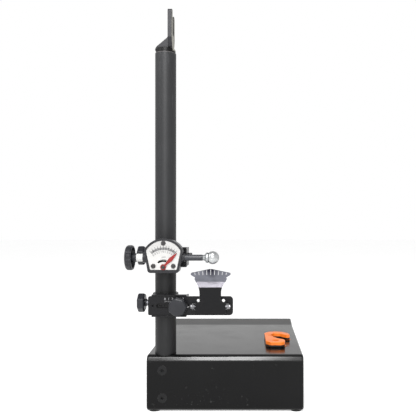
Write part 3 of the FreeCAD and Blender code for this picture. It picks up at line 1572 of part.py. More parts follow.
def feeler_plate():
    """Bent sheet: a skirt with two hinge ears, a neck, a sloping band and a fan with a scale."""
    body = new_body("feeler_plate", s.feeler_centre, 0, radial_height)
    front = -s.feeler_ahead
    back = front + s.feeler_sheet
    slope = s.feeler_bend_high - s.feeler_bend_low
    drop = s.feeler_sheet * BEND_SHARE
    section = [
        (front, -s.feeler_bottom),
        (back, -s.feeler_bottom),
        (back, s.feeler_bend_low - drop),
        (back + slope, s.feeler_bend_high - drop),
        (back + slope, s.feeler_peak),
        (front + slope, s.feeler_peak),
        (front + slope, s.feeler_bend_high),
        (front, s.feeler_bend_low),
    ]
    wing = s.feeler_wing_width / 2
    pad(body, "side", -wing, s.feeler_wing_width, section)
    skirt = s.feeler_skirt_width / 2
    neck = s.feeler_neck_width / 2
    fan = s.feeler_fan_width / 2
    skirt_top = s.feeler_skirt_height - s.feeler_bottom
    flare_low = skirt_top + s.feeler_neck_straight
    flare_high = flare_low + s.feeler_flare
    tip = s.feeler_peak - s.feeler_wing_drop
    crown = s.feeler_crown / 2
    round_tip = s.feeler_wing_radius
    cheek = fan + s.feeler_cheek_out
    cheek_low = flare_high + s.feeler_cheek_rise
    (low_u, low_v), (high_u, high_v) = WING_TIP_SHARES
    right_half = [
        (skirt, -s.feeler_bottom),
        (skirt, skirt_top),
        (neck, skirt_top),
        (neck, flare_low),
        (fan, flare_high, s.feeler_side_radius, "cw"),
        (cheek, cheek_low),
        (cheek, cheek_low + 2 * s.feeler_notch_depth),
        (cheek - s.feeler_notch_depth, cheek_low + 3 * s.feeler_notch_depth),
        (wing - round_tip + low_u * round_tip, tip + low_v * round_tip),
        (wing - round_tip + high_u * round_tip, tip + high_v * round_tip, round_tip, "ccw"),
        (crown, s.feeler_peak - s.overrun / 4),
    ]
    left_half = mirrored_outline(right_half)
    margin = s.feeler_bottom
    frame = rectangle(-wing - margin, wing + margin, -2 * s.feeler_bottom, s.feeler_peak + margin)
    start = s.feeler_ahead - slope - s.feeler_sheet - s.overrun
    cut(body, "front", start, slope + s.feeler_sheet + 2 * s.overrun, frame, right_half + left_half)
    forward = FreeCAD.Vector(0, 1, 0)

    def skirt_corner(edge):
        low = is_near(edge.BoundBox.ZMin, -s.feeler_bottom)
        outside = abs(edge.BoundBox.XMin) > (neck + s.overrun).value
        high = is_near(edge.BoundBox.ZMin, skirt_top) and outside
        return is_along(edge, forward) and (low or high)
    dress(body, "Fillet", s.feeler_wing_radius, skirt_corner)
    hinge = -s.hinge_ahead
    for left in (-skirt, skirt - s.feeler_sheet):
        pad(body, "side", left, s.feeler_sheet,
            rectangle(front + s.feeler_sheet / 2, hinge, -s.ear_radius, s.ear_radius))
        pad(body, "side", left, s.feeler_sheet, (hinge, 0, s.ear_radius))
    cut(body, "side", -skirt - s.overrun, s.feeler_skirt_width + 2 * s.overrun,
        (hinge, 0, s.hinge_pin_diameter / 2 + s.fit_gap))
    return keep(body, "feeler_plate")


def mirrored_outline(points):
    """Return the other half of an outline, mirrored left to right and run backwards."""
    mirror = []
    for index in range(len(points) - 1, -1, -1):
        u, v = points[index][:2]
        arc = points[index + 1][2:] if index + 1 < len(points) else ()
        mirror.append((-u, v) + tuple(arc))
    return mirror


# Spoke wrench that lies on the base

WRENCH_SHARES = (
    (0.2, 0.0), (0.6, 0.0), (0.74, 0.05), (0.76, 0.19), (0.7, 0.26), (0.54, 0.33), (0.45, 0.4),
    (0.36, 0.49), (0.29, 0.6), (0.27, 0.72), (0.38, 0.82), (0.62, 0.8), (0.88, 0.64),
    (1.0, 0.68), (0.95, 0.82), (0.76, 0.95), (0.46, 1.0), (0.18, 0.97), (0.02, 0.85),
    (0.05, 0.12),
)
WRENCH_FOOT_SHARES = (
    (0.2, 0.09), (0.64, 0.09), (0.79, 0.12), (0.79, 0.2), (0.7, 0.25), (0.54, 0.32), (0.44, 0.39),
    (0.35, 0.48), (0.27, 0.6), (0.24, 0.73), (0.37, 0.84), (0.63, 0.82), (0.88, 0.67),
    (1.04, 0.7), (0.96, 0.8), (0.75, 0.92), (0.46, 0.96), (0.2, 0.93), (0.08, 0.84),
    (0.08, 0.13),
)
WRENCH_EYE_SHARES = (0.41, 0.17)
WRENCH_NOTCH_SHARE = 0.63
WRENCH_THROAT_SHARE = 0.28


def wrench_layer(label, bottom, thickness, shares, rounded):
    """One layer of the wrench: a hook-shaped plate with an eye and a nipple notch."""
    body = new_body(label, s.wrench_left, s.wrench_front, s.base_height)
    points = [(u * s.wrench_length, v * s.wrench_width) for u, v in shares]
    pad(body, "top", bottom, thickness, points)
    dress(body, "Fillet", s.wrench_corner_radius,
          lambda edge: is_along(edge, FreeCAD.Vector(0, 0, 1)))
    across, along = WRENCH_EYE_SHARES
    below = bottom - s.overrun
    through = thickness + 2 * s.overrun
    cut(body, "top", below, through,
        (across * s.wrench_length, along * s.wrench_width, s.wrench_eye_diameter / 2))
    if rounded:
        def top_rim(edge):
            return is_near(edge.BoundBox.ZMin, rounded) and is_near(edge.BoundBox.ZMax, rounded)
        dress(body, "Fillet", s.wrench_edge_radius, top_rim)
    middle = WRENCH_NOTCH_SHARE * s.wrench_width
    half = s.wrench_notch_width / 2
    inner = WRENCH_THROAT_SHARE * s.wrench_length
    cut(body, "top", below, through,
        rectangle(inner - s.wrench_notch_depth, inner + s.overrun, middle - half, middle + half))
    return keep(body, label)


def spoke_wrench():
    """The wrench's two orange covers, and its steel core between them."""
    core = s.wrench_bottom_thickness
    top = core + s.wrench_core_thickness
    wrench_layer("wrench_cover_bottom", as_length(0), core, WRENCH_FOOT_SHARES, None)
    wrench_layer("wrench_core", core, s.wrench_core_thickness, WRENCH_SHARES, None)
    wrench_layer("wrench_cover_top", top, s.wrench_top_thickness, WRENCH_SHARES,
                 s.wrench_top_thickness + top)


# The whole stand

def build_stand():
    """Build every sub-part."""
    base_shell()
    rear_wall()
    foot_pads()
    post_tube()
    post_foot_plug()
    post_screws()
    axle_head()
    units = (
        ("gauge", s.gauge_height, s.gauge_bracket_height),
        ("radial", radial_height, radial_bracket_height),
    )
    for name, height, outer in units:
        collar(name + "_collar", height)
        bracket(name + "_bracket", height, outer, name == "gauge")
        bracket_screws(name + "_bracket_screws", height)
        tie_bolt(name + "_tie_bolt", height)
        clamp_pad(name + "_clamp_pad", height)
        clamp_screw(name + "_clamp", height)
    gauge_housing()
    gauge_face_plate()
    gauge_face_screws()
    housing_screws()
    pointer_backing()
    pointer_pivot_screw()
    pointer()
    pointer_pin()
    plunger_core()
    return_spring()
    reach_rod()
    reach_stem()
    reach_knob()
    contact_ball()
    ball_cup()
    radial_bar()
    feeler_lugs()
    lug_rivets()
    hinge_pin()
    hinge_clips()
    torsion_springs()
    bar_clamp_washer()
    bar_clamp()
    feeler_plate()
    spoke_wrench()


def check_model():
    """Stop if any object failed, or any sub-part's shape is missing or not valid."""
    document.recompute()
    failed = [item.Label for item in document.Objects
              if "Invalid" in item.State or "Error" in item.State]
    failed += [part.Label for part in nodes if part.Shape.isNull() or not part.Shape.isValid()]
    if failed:
        raise RuntimeError("failed: %s" % ", ".join(failed))


def write_parts():
    """Write one STEP file for each sub-part."""
    os.makedirs("parts", exist_ok=True)
    for part in nodes:
        part.Shape.exportStep("parts/%s.step" % part.Label)
        box = part.Shape.BoundBox
        print("%-24s solids %d  volume %9.1f  x %7.2f %7.2f  y %7.2f %7.2f  z %7.2f %7.2f" % (
            part.Label, len(part.Shape.Solids), part.Shape.Volume,
            box.XMin, box.XMax, box.YMin, box.YMax, box.ZMin, box.ZMax))


build_stand()
check_model()
write_parts()
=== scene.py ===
"""Looks of the bicycle wheel truing stand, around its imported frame. Lengths are in metres."""
import json
import math

import bmesh
import bpy
from mathutils import Matrix, Vector


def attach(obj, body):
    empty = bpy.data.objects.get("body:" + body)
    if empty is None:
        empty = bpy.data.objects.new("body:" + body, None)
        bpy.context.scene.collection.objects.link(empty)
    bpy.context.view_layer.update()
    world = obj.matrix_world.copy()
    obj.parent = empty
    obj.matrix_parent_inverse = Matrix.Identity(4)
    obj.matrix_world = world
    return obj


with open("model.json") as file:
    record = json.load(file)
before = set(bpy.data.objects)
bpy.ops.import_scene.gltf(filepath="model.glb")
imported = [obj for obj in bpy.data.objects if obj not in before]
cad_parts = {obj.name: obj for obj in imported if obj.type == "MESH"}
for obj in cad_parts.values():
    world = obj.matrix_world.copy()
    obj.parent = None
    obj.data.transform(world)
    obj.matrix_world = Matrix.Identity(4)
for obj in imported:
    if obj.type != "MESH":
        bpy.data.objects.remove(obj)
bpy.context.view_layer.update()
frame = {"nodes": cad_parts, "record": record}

MM = 0.001
IMAGE_SIZE = 416


# Camera, from the photograph's one vanishing point

VANISHING_PIXEL = (253, 220)
FOCAL_PIXELS = 544.6
CAMERA_PLACE = (113.3 * MM, -707 * MM, 243.6 * MM)
SENSOR_WIDTH = 36


def make_camera():
    """Set the camera square to the front wall, with the shift that the framing needs."""
    data = bpy.data.cameras.new("camera")
    data.sensor_width = SENSOR_WIDTH
    data.lens = FOCAL_PIXELS / IMAGE_SIZE * SENSOR_WIDTH
    data.shift_x = (IMAGE_SIZE / 2 - VANISHING_PIXEL[0]) / IMAGE_SIZE
    data.shift_y = (VANISHING_PIXEL[1] - IMAGE_SIZE / 2) / IMAGE_SIZE
    data.clip_start = 10 * MM
    data.clip_end = 30
    camera = bpy.data.objects.new("camera", data)
    camera.location = CAMERA_PLACE
    camera.rotation_euler = (math.radians(90), 0, 0)
    bpy.context.scene.collection.objects.link(camera)
    bpy.context.scene.camera = camera


# Node helpers for materials

BEVEL_SAMPLES = 6
FLAT_COSINE = 0.97
EDGE_COSINE = 0.86


class Surface:
    """A material under construction: a Principled shader and the nodes that feed it."""

    def __init__(self, name, color, roughness, metallic=0.0, ior=1.5, tint=1.0):
        self.material = bpy.data.materials.new(name)
        self.material.use_nodes = True
        self.tree = self.material.node_tree
        self.tree.nodes.clear()
        self.shader = self.add("ShaderNodeBsdfPrincipled")
        output = self.add("ShaderNodeOutputMaterial")
        self.join(self.shader.outputs["BSDF"], output.inputs["Surface"])
        self.shader.inputs["Metallic"].default_value = metallic
        self.shader.inputs["Roughness"].default_value = roughness
        self.shader.inputs["IOR"].default_value = ior
        self.shader.inputs["Specular Tint"].default_value = (tint, tint, tint, 1)
        self.shader.inputs["Base Color"].default_value = (*color, 1)
        self.color = color
        self.roughness = roughness
        self.place = self.add("ShaderNodeTexCoord").outputs["Object"]
        self.color_output = None
        self.bump_output = None

    def add(self, kind):
        return self.tree.nodes.new(kind)

    def join(self, output, socket):
        self.tree.links.new(output, socket)

    def noise(self, scale, detail=3.0, stretch=(1, 1, 1)):
        """Noise of so many cells to the metre."""
        mapping = self.add("ShaderNodeMapping")
        mapping.inputs["Scale"].default_value = stretch
        self.join(self.place, mapping.inputs["Vector"])
        node = self.add("ShaderNodeTexNoise")
        node.inputs["Scale"].default_value = scale
        node.inputs["Detail"].default_value = detail
        self.join(mapping.outputs["Vector"], node.inputs["Vector"])
        return node.outputs["Fac"]

    def ramp(self, source, low, high, low_value=0.0, high_value=1.0):
        """Map a value from one range to another."""
        node = self.add("ShaderNodeMapRange")
        node.inputs["From Min"].default_value = low
        node.inputs["From Max"].default_value = high
        node.inputs["To Min"].default_value = low_value
        node.inputs["To Max"].default_value = high_value
        self.join(source, node.inputs["Value"])
        return node.outputs["Result"]

    def times(self, first, second):
        """Multiply two values."""
        node = self.add("ShaderNodeMath")
        node.operation = "MULTIPLY"
        self.join(first, node.inputs[0])
        self.join(second, node.inputs[1])
        return node.outputs["Value"]

    def mix(self, factor, first, second):
        """Mix two colours, each a triple or a socket."""
        node = self.add("ShaderNodeMix")
        node.data_type = "RGBA"
        self.join(factor, node.inputs["Factor"])
        for value, socket in ((first, node.inputs[6]), (second, node.inputs[7])):
            if isinstance(value, (tuple, list)):
                socket.default_value = (*value, 1)
            else:
                self.join(value, socket)
        return node.outputs[2]

    def paint(self, factor, color):
        """Lay a colour over what is there, where factor says."""
        self.color_output = self.mix(factor, self.color_output or self.color, color)
        self.join(self.color_output, self.shader.inputs["Base Color"])

    def clouds(self, scale, color, low=0.45, high=0.75):
        """Vary the colour softly."""
        self.paint(self.ramp(self.noise(scale, 4.0), low, high), color)

    def rough(self, scale, spread, stretch=(1, 1, 1)):
        """Vary the roughness about its middle."""
        fac = self.noise(scale, 4.0, stretch)
        result = self.ramp(fac, 0.3, 0.7, self.roughness - spread, self.roughness + spread)
        self.join(result, self.shader.inputs["Roughness"])

    def bump(self, source, depth, strength):
        """Raise the surface by a pattern, depth in metres."""
        node = self.add("ShaderNodeBump")
        node.inputs["Strength"].default_value = strength
        node.inputs["Distance"].default_value = depth
        self.join(source, node.inputs["Height"])
        if self.bump_output:
            self.join(self.bump_output, node.inputs["Normal"])
        self.bump_output = node.outputs["Normal"]
        self.join(self.bump_output, self.shader.inputs["Normal"])

    def bevel(self, radius):
        """Return the normal that rounded edges would have."""
        node = self.add("ShaderNodeBevel")
        node.samples = BEVEL_SAMPLES
        node.inputs["Radius"].default_value = radius
        return node.outputs["Normal"]

    def soften(self, radius):
        """Shade sharp edges as if they were slightly rounded."""
        self.bump_output = self.bevel(radius)

    def edge(self, radius):
        """Return how close a point lies to a sharp edge."""
        rounded = self.bevel(radius)
        geometry = self.add("ShaderNodeNewGeometry")
        dot = self.add("ShaderNodeVectorMath")
        dot.operation = "DOT_PRODUCT"
        self.join(rounded, dot.inputs[0])
        self.join(geometry.outputs["Normal"], dot.inputs[1])
        return self.ramp(dot.outputs["Value"], FLAT_COSINE, EDGE_COSINE)

    def worn_edge(self, radius, color, scale=900.0):
        """Show a brighter colour along edges, broken up by noise."""
        self.paint(self.times(self.edge(radius), self.ramp(self.noise(scale), 0.5, 0.64)), color)

    def axis(self, name):
        """Return one object coordinate."""
        split = self.add("ShaderNodeSeparateXYZ")
        self.join(self.place, split.inputs[0])
        return split.outputs[name]

    def distance(self, point):
        """Return the distance from a fixed point of the object."""
        node = self.add("ShaderNodeVectorMath")
        node.operation = "DISTANCE"
        self.join(self.place, node.inputs[0])
        node.inputs[1].default_value = point
        return node.outputs["Value"]

    def scuffs(self, scale, color, stretch, low=0.66, high=0.7):
        """Lay thin rubbed streaks over the paint."""
        fac = self.ramp(self.noise(scale, 2.0, stretch), low, high)
        self.paint(self.times(fac, self.ramp(self.noise(scale / 9), 0.5, 0.62)), color)


RUBBED_EDGE = 0.3 * MM


def painted(name, color, roughness, grain_depth, grain_scale, worn, tint=0.8):
    """Painted or powder-coated metal: soft tone changes, orange peel and rubbed edges."""
    surface = Surface(name, color, roughness, 0.0, 1.42, tint)
    lighter = tuple(channel * 1.4 + 0.001 for channel in color)
    surface.clouds(14, lighter)
    surface.rough(35, 0.05)
    surface.worn_edge(RUBBED_EDGE, worn)
    surface.soften(0.35 * MM)
    surface.bump(surface.noise(grain_scale, 2.0), grain_depth, 0.6)
    return surface.material


def plated(name, color, roughness):
    """Bare or plated metal with a fine grain and slight stains."""
    surface = Surface(name, color, roughness, 1.0)
    darker = tuple(channel * 0.7 for channel in color)
    surface.clouds(60, darker, 0.5, 0.8)
    surface.rough(120, 0.07)
    surface.bump(surface.noise(2600, 2.0), 0.01 * MM, 0.5)
    return surface.material


def moulded(name, color, roughness, grain_scale, grain_depth, worn=None, tint=1.0):
    """Moulded plastic or rubber with a fine grain."""
    surface = Surface(name, color, roughness, 0.0, 1.45, tint)
    lighter = tuple(channel * 1.3 + 0.002 for channel in color)
    surface.clouds(45, lighter)
    surface.rough(90, 0.05)
    if worn:
        surface.worn_edge(0.4 * MM, worn, 700.0)
    surface.bump(surface.noise(grain_scale, 3.0), grain_depth, 0.7)
    return surface.material


BEND_FRONT = -10.5 * MM
BEND_LOW = 65.5 * MM


def base_finish():
    """Glossy black enamel with orange peel and light scuffs, with a painted highlight that makes
    the front bend reflect more brightly.
    """
    surface = Surface("base_enamel", (0.0012, 0.0012, 0.0013), 0.18, 0.0, 1.35, 0.5)
    surface.clouds(9, (0.0028, 0.0028, 0.003))
    surface.scuffs(260, (0.02, 0.02, 0.02), (1, 7, 1))
    surface.worn_edge(RUBBED_EDGE, (0.05, 0.05, 0.05))
    surface.rough(26, 0.045)
    # painted highlight: reflectance is raised and untinted along the front bend so the lamps show
    # brighter there
    bend = surface.times(surface.ramp(surface.axis("Y"), BEND_FRONT + 2 * MM, BEND_FRONT),
                         surface.ramp(surface.axis("Z"), BEND_LOW - 1.5 * MM, BEND_LOW))
    tint = surface.mix(bend, (0.5, 0.5, 0.5), (1, 1, 1))
    surface.join(tint, surface.shader.inputs["Specular Tint"])
    surface.join(surface.ramp(bend, 0, 1, 0.5, 1.0), surface.shader.inputs["Specular IOR Level"])
    surface.bump(surface.noise(700, 2.0), 0.014 * MM, 0.5)
    return surface.material


POST_TOP = 459 * MM
BLADE_RIGHT = 9.8 * MM


def head_finish():
    """Cast enamel with painted shade darkening the neck and the rounded edges, and a bare ground
    axle face.
    """
    surface = Surface("head_enamel", (0.017, 0.017, 0.0195), 0.36, 0.0, 1.42, 0.5)
    surface.clouds(30, (0.022, 0.022, 0.025))
    surface.rough(35, 0.05)
    # painted shade: darker along the rounded edges
    surface.paint(surface.edge(2.2 * MM), (0.005, 0.005, 0.006))
    # painted shade: the neck under the blade is near black
    neck = surface.ramp(surface.axis("Z"), POST_TOP + 8.6 * MM, POST_TOP + 7.2 * MM)
    surface.paint(neck, (0.0008, 0.0008, 0.001))
    face = surface.ramp(surface.axis("X"), BLADE_RIGHT - 0.12 * MM, BLADE_RIGHT - 0.04 * MM)
    above_post = surface.ramp(surface.axis("Z"), POST_TOP + 2 * MM, POST_TOP + 4 * MM)
    ground = surface.times(face, above_post)
    worn = surface.ramp(surface.noise(260, 3.0, (1, 1, 0.5)), 0.35, 0.42)
    bare = surface.times(ground, worn)
    surface.paint(bare, (0.36, 0.35, 0.3))
    surface.join(surface.ramp(bare, 0, 1, 0.0, 0.7), surface.shader.inputs["Metallic"])
    surface.soften(0.8 * MM)
    surface.bump(surface.noise(1500, 2.0), 0.008 * MM, 0.5)
    return surface.material


POST_SHADE_TOP = 250 * MM
POST_SHADE_LOW = 176 * MM


def post_finish():
    """Fine powder coat, rubbed in faint upright lines where the collars slide, with painted shade
    below the gauge and a painted highlight on its top rim.
    """
    surface = Surface("post_powder", (0.0135, 0.0138, 0.0148), 0.5, 0.0, 1.42, 0.7)
    surface.clouds(18, (0.017, 0.0175, 0.019))
    surface.scuffs(420, (0.028, 0.029, 0.031), (1, 1, 0.04), 0.6, 0.7)
    height = surface.axis("Z")
    # painted shade: the post is darker below the gauge, down to its foot
    shade = surface.ramp(height, POST_SHADE_TOP, POST_SHADE_LOW, 0.0, 0.75)
    surface.paint(shade, (0.0035, 0.0036, 0.004))
    # painted highlight: a lighter band along the post's top rim
    rim_highlight = surface.ramp(height, POST_TOP - 0.7 * MM, POST_TOP - 0.5 * MM, 0.0, 0.6)
    surface.paint(rim_highlight, (0.12, 0.11, 0.11))
    surface.worn_edge(0.4 * MM, (0.12, 0.12, 0.12))
    surface.rough(60, 0.05, (1, 1, 0.1))
    surface.soften(0.5 * MM)
    surface.bump(surface.noise(2200, 2.0), 0.02 * MM, 0.6)
    return surface.material


FEELER_BLACK_TOP = 160.2 * MM
FEELER_SLOPE_TOP = 166.4 * MM
FAN_FRONT = -27.2 * MM
FEELER_CENTRE = 60.4 * MM
FAN_PEAK = 182.6 * MM
FINISH_BLEND = 0.5 * MM


def feeler_finish():
    """Black skirt and neck, a pale slope that is a painted highlight, and a grey fan with a
    painted dark reflection at its crown.
    """
    surface = Surface("feeler_finish", (0.115, 0.117, 0.135), 0.38, 0.9, 1.35, 0.5)
    surface.clouds(90, (0.085, 0.087, 0.1), 0.42, 0.75)
    height = surface.axis("Z")
    # painted highlight: the upward-facing slope is much lighter than the fan
    slope = surface.ramp(height, FEELER_SLOPE_TOP + 0.2 * MM, FEELER_SLOPE_TOP - 0.2 * MM)
    surface.paint(slope, (0.27, 0.26, 0.29))
    # painted reflection: a dark patch around the fan's crown
    peak = surface.distance((FEELER_CENTRE, FAN_FRONT, FAN_PEAK))
    surface.paint(surface.ramp(peak, 12 * MM, 3 * MM), (0.014, 0.014, 0.022))
    low, high = FEELER_BLACK_TOP - FINISH_BLEND, FEELER_BLACK_TOP + FINISH_BLEND
    surface.paint(surface.ramp(height, high, low), (0.003, 0.003, 0.0036))
    bare = surface.ramp(height, low, high, 0.0, 0.9)
    surface.join(bare, surface.shader.inputs["Metallic"])
    surface.rough(160, 0.08, (6, 1, 1))
    surface.worn_edge(RUBBED_EDGE, (0.3, 0.3, 0.32))
    surface.bump(surface.noise(3200, 2.0, (8, 1, 1)), 0.006 * MM, 0.5)
    return surface.material


def ball_finish():
    """Satin chrome with faint stains."""
    surface = Surface("ball_finish", (0.39, 0.4, 0.4), 0.26, 0.7, 1.5, 0.5)
    surface.clouds(120, (0.34, 0.35, 0.36), 0.5, 0.85)
    surface.rough(300, 0.04)
    surface.bump(surface.noise(2400, 2.0), 0.004 * MM, 0.3)
    return surface.material


DIAL_SHADE_LOW = 192 * MM
DIAL_SHADE_TOP = 212 * MM


def dial_finish():
    """Satin white dial plate, with painted shade that makes it a little greyer towards its upper
    edge.
    """
    surface = Surface("dial_plate", (0.42, 0.415, 0.405), 0.32, 0.0, 1.45)
    surface.clouds(45, (0.45, 0.445, 0.435))
    # painted shade: the face is darker towards its upper edge
    grey = surface.ramp(surface.axis("Z"), DIAL_SHADE_LOW, DIAL_SHADE_TOP, 0.0, 0.6)
    surface.paint(grey, (0.29, 0.287, 0.28))
    surface.rough(90, 0.05)
    surface.bump(surface.noise(1800, 3.0), 0.004 * MM, 0.7)
    return surface.material


def ink(name, color):
    """Printed marks: flat ink with slight wear."""
    surface = Surface(name, color, 0.5)
    surface.clouds(900, tuple(channel * 0.7 + 0.05 for channel in color), 0.5, 0.75)
    surface.rough(400, 0.08)
    surface.bump(surface.noise(3500, 2.0), 0.003 * MM, 0.5)
    return surface.material


def make_finishes():
    """Make one material for each of the record's slots."""
    grey = (0.09, 0.09, 0.09)
    return {
        "base_paint": base_finish(),
        "post_paint": post_finish(),
        "cast_black": painted("cast_enamel", (0.009, 0.009, 0.0105), 0.36,
                              0.03 * MM, 1500, grey, 0.6),
        "bracket_paint": painted("bracket_enamel", (0.004, 0.004, 0.0048), 0.34,
                                 0.015 * MM, 2000, grey, 0.45),
        "housing_black": painted("housing_enamel", (0.012, 0.012, 0.014), 0.32,
                                 0.02 * MM, 2400, grey, 0.7),
        "black_screw": painted("black_oxide", (0.004, 0.004, 0.0044), 0.36,
                               0.008 * MM, 3000, grey, 0.5),
        "dial_screw": painted("dial_screw_oxide", (0.03, 0.028, 0.028), 0.34,
                              0.006 * MM, 3000, grey),
        "rod_black": painted("rod_oxide", (0.02, 0.021, 0.025), 0.3, 0.006 * MM, 2600, grey),
        "wrench_steel": painted("wrench_oxide", (0.006, 0.006, 0.006), 0.4, 0.01 * MM, 1800, grey),
        "pointer_red": painted("pointer_enamel", (0.185, 0.008, 0.007), 0.4,
                               0.006 * MM, 2600, (0.3, 0.03, 0.025)),
        "dial_white": dial_finish(),
        "white_plastic": moulded("sleeve_acetal", (0.42, 0.42, 0.41), 0.42, 2200, 0.01 * MM),
        "knob_plastic": moulded("knob_phenolic", (0.011, 0.0115, 0.014), 0.34,
                                3200, 0.02 * MM, (0.05, 0.05, 0.055), 0.6),
        "foot_rubber": moulded("foot_rubber", (0.018, 0.018, 0.018), 0.75, 2600, 0.05 * MM),
        "wrench_orange": moulded("wrench_coating", (0.72, 0.165, 0.014), 0.4,
                                 1600, 0.02 * MM, (0.85, 0.4, 0.2)),
        "plain_steel": plated("zinc_plate", (0.24, 0.24, 0.26), 0.36),
        "spring_steel": plated("spring_wire", (0.26, 0.26, 0.27), 0.34),
        "brass": plated("turned_brass", (0.42, 0.28, 0.1), 0.32),
        "ball_chrome": ball_finish(),
        "feeler_steel": feeler_finish(),
    }


def dress_nodes(finishes):
    """Give every CAD node the material of its slot, or one of its own."""
    slots = {part["node"]: part["material_slot"] for part in frame["record"]["subparts"]}
    cup = plated("cup_plate", (0.3, 0.31, 0.315), 0.42)
    own = {"axle_head": head_finish(), "ball_cup": cup}
    for name, node in frame["nodes"].items():
        node.data.materials.clear()
        node.data.materials.append(own.get(name) or finishes[slots[name]])


# Printed marks

def make_piece(name, shape, material, body):
    """Turn a bmesh into a piece of the model that rides on a body."""
    bmesh.ops.recalc_face_normals(shape, faces=shape.faces)
    mesh = bpy.data.meshes.new(name)
    shape.to_mesh(mesh)
    shape.free()
    mesh.materials.append(material)
    piece = bpy.data.objects.new(name, mesh)
    bpy.context.scene.collection.objects.link(piece)
    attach(piece, body)


INK_THICKNESS = 0.05 * MM
TEXT_STEPS = 3


def add_stroke(shape, start, end, width, front):
    """Add one thin printed stroke between two (x, z) points, raised towards -Y from front."""
    first, last = Vector(start), Vector(end)
    along = (last - first).normalized()
    side = Vector((-along.y, along.x)) * width / 2
    ring = [first + side, first - side, last - side, last + side]
    levels = []
    for depth in (0.0, INK_THICKNESS):
        levels.append([shape.verts.new((point.x, front - depth, point.y)) for point in ring])
    shape.faces.new(levels[1])
    shape.faces.new(levels[0][::-1])
    for index in range(4):
        follow = (index + 1) % 4
        shape.faces.new((levels[0][index], levels[0][follow], levels[1][follow], levels[1][index]))


def add_text(shape, words, size, x, front, z, tilt=0.0):
    """Add raised characters centred on (x, z), in the plane of the front."""
    curve = bpy.data.curves.new("words", "FONT")
    curve.body = words
    curve.size = size
    curve.align_x = "CENTER"
    curve.align_y = "CENTER"
    curve.extrude = INK_THICKNESS / 2
    curve.resolution_u = TEXT_STEPS
    source = bpy.data.objects.new("words", curve)
    bpy.context.scene.collection.objects.link(source)
    depsgraph = bpy.context.evaluated_depsgraph_get()
    mesh = bpy.data.meshes.new_from_object(source.evaluated_get(depsgraph))
    upright = Matrix.Rotation(math.radians(90), 4, "X")
    turn = Matrix.Rotation(tilt, 4, "Y")
    mesh.transform(Matrix.Translation((x, front - INK_THICKNESS / 2, z)) @ turn @ upright)
    shape.from_mesh(mesh)
    bpy.data.meshes.remove(mesh)
    bpy.data.objects.remove(source)
    bpy.data.curves.remove(curve)


FACE_FRONT = -39.4 * MM
PIVOT = (3.3 * MM, 185.8 * MM)
SCALE_INNER = 21.4 * MM
SCALE_OUTER = 24.0 * MM
SCALE_LONG = 26.4 * MM
SCALE_NUMBERS = 18.9 * MM
SCALE_REACH = 5
SCALE_STEP = 8
SCALE_SPREAD = SCALE_REACH * SCALE_STEP
ARC_STEP = 2
MARK_WIDTH = 0.24 * MM
LONG_MARK_WIDTH = 0.5 * MM
ARC_WIDTH = 0.22 * MM
NUMBER_SIZE = 3.7 * MM
UNIT_SIZE = 3.2 * MM
UNIT_RIGHT = 0.6 * MM
UNIT_UP = 12.3 * MM


def on_dial(radius, degrees):
    """Return the (x, z) place at a radius and angle about the pointer's pivot."""
    angle = math.radians(degrees)
    return (PIVOT[0] + radius * math.sin(angle), PIVOT[1] + radius * math.cos(angle))


def make_dial_marks(dark):
    """Print the dial: a scale in degrees, its long marks, eleven numbers and the unit."""
    shape = bmesh.new()
    for step in range(-SCALE_SPREAD, SCALE_SPREAD + 1):
        numbered = step % SCALE_STEP == 0
        outer = SCALE_LONG if numbered else SCALE_OUTER
        width = LONG_MARK_WIDTH if numbered else MARK_WIDTH
        add_stroke(shape, on_dial(SCALE_INNER, step), on_dial(outer, step), width, FACE_FRONT)
    for step in range(-SCALE_SPREAD, SCALE_SPREAD, ARC_STEP):
        for radius in (SCALE_INNER, SCALE_OUTER):
            start, end = on_dial(radius, step), on_dial(radius, step + ARC_STEP)
            add_stroke(shape, start, end, ARC_WIDTH, FACE_FRONT)
    for number in range(-SCALE_REACH, SCALE_REACH + 1):
        degrees = number * SCALE_STEP
        x, z = on_dial(SCALE_NUMBERS, degrees)
        add_text(shape, str(abs(number)), NUMBER_SIZE, x, FACE_FRONT, z, math.radians(degrees))
    add_text(shape, "mm", UNIT_SIZE, PIVOT[0] + UNIT_RIGHT, FACE_FRONT, PIVOT[1] + UNIT_UP)
    make_piece("dial_marks", shape, dark, "gauge_carriage")


FAN_MARKS = 9
FAN_MARK_SPACING = 4.95 * MM
FAN_MARK_FOOT = 175.0 * MM
FAN_MARK_WIDTH = 0.95 * MM
FAN_MARK_LEAN = 0.03
FAN_MARGIN = 0.9 * MM
FAN_SLOPE = 0.19


def make_feeler_marks(pale):
    """Print the feeler's scale: nine pale strokes under the fan's sloping upper edge."""
    shape = bmesh.new()
    for index in range(FAN_MARKS):
        off = (index - (FAN_MARKS - 1) / 2) * FAN_MARK_SPACING
        top = FAN_PEAK - FAN_MARGIN - FAN_SLOPE * abs(off)
        x = FEELER_CENTRE + off
        foot = (x - off * FAN_MARK_LEAN, FAN_MARK_FOOT)
        add_stroke(shape, (x, top), foot, FAN_MARK_WIDTH, FAN_FRONT)
    make_piece("feeler_marks", shape, pale, "feeler")


BAR_FRONT = -23.0 * MM
BAR_SCALE_LEFT = 2.8 * MM
BAR_NUMBERS = 6
BAR_NUMBER_SIZE = 4.0 * MM
BAR_NUMBER_HEIGHT = 144.3 * MM
BAR_MARKS = 27
BAR_MARK_SPACING = 0.92 * MM
BAR_MARKS_A_NUMBER = 5
BAR_MARK_TOP = 141.9 * MM
BAR_MARK_LENGTH = 0.9 * MM
BAR_LONG_MARK_LENGTH = 1.6 * MM
BAR_MARK_WIDTH = 0.22 * MM


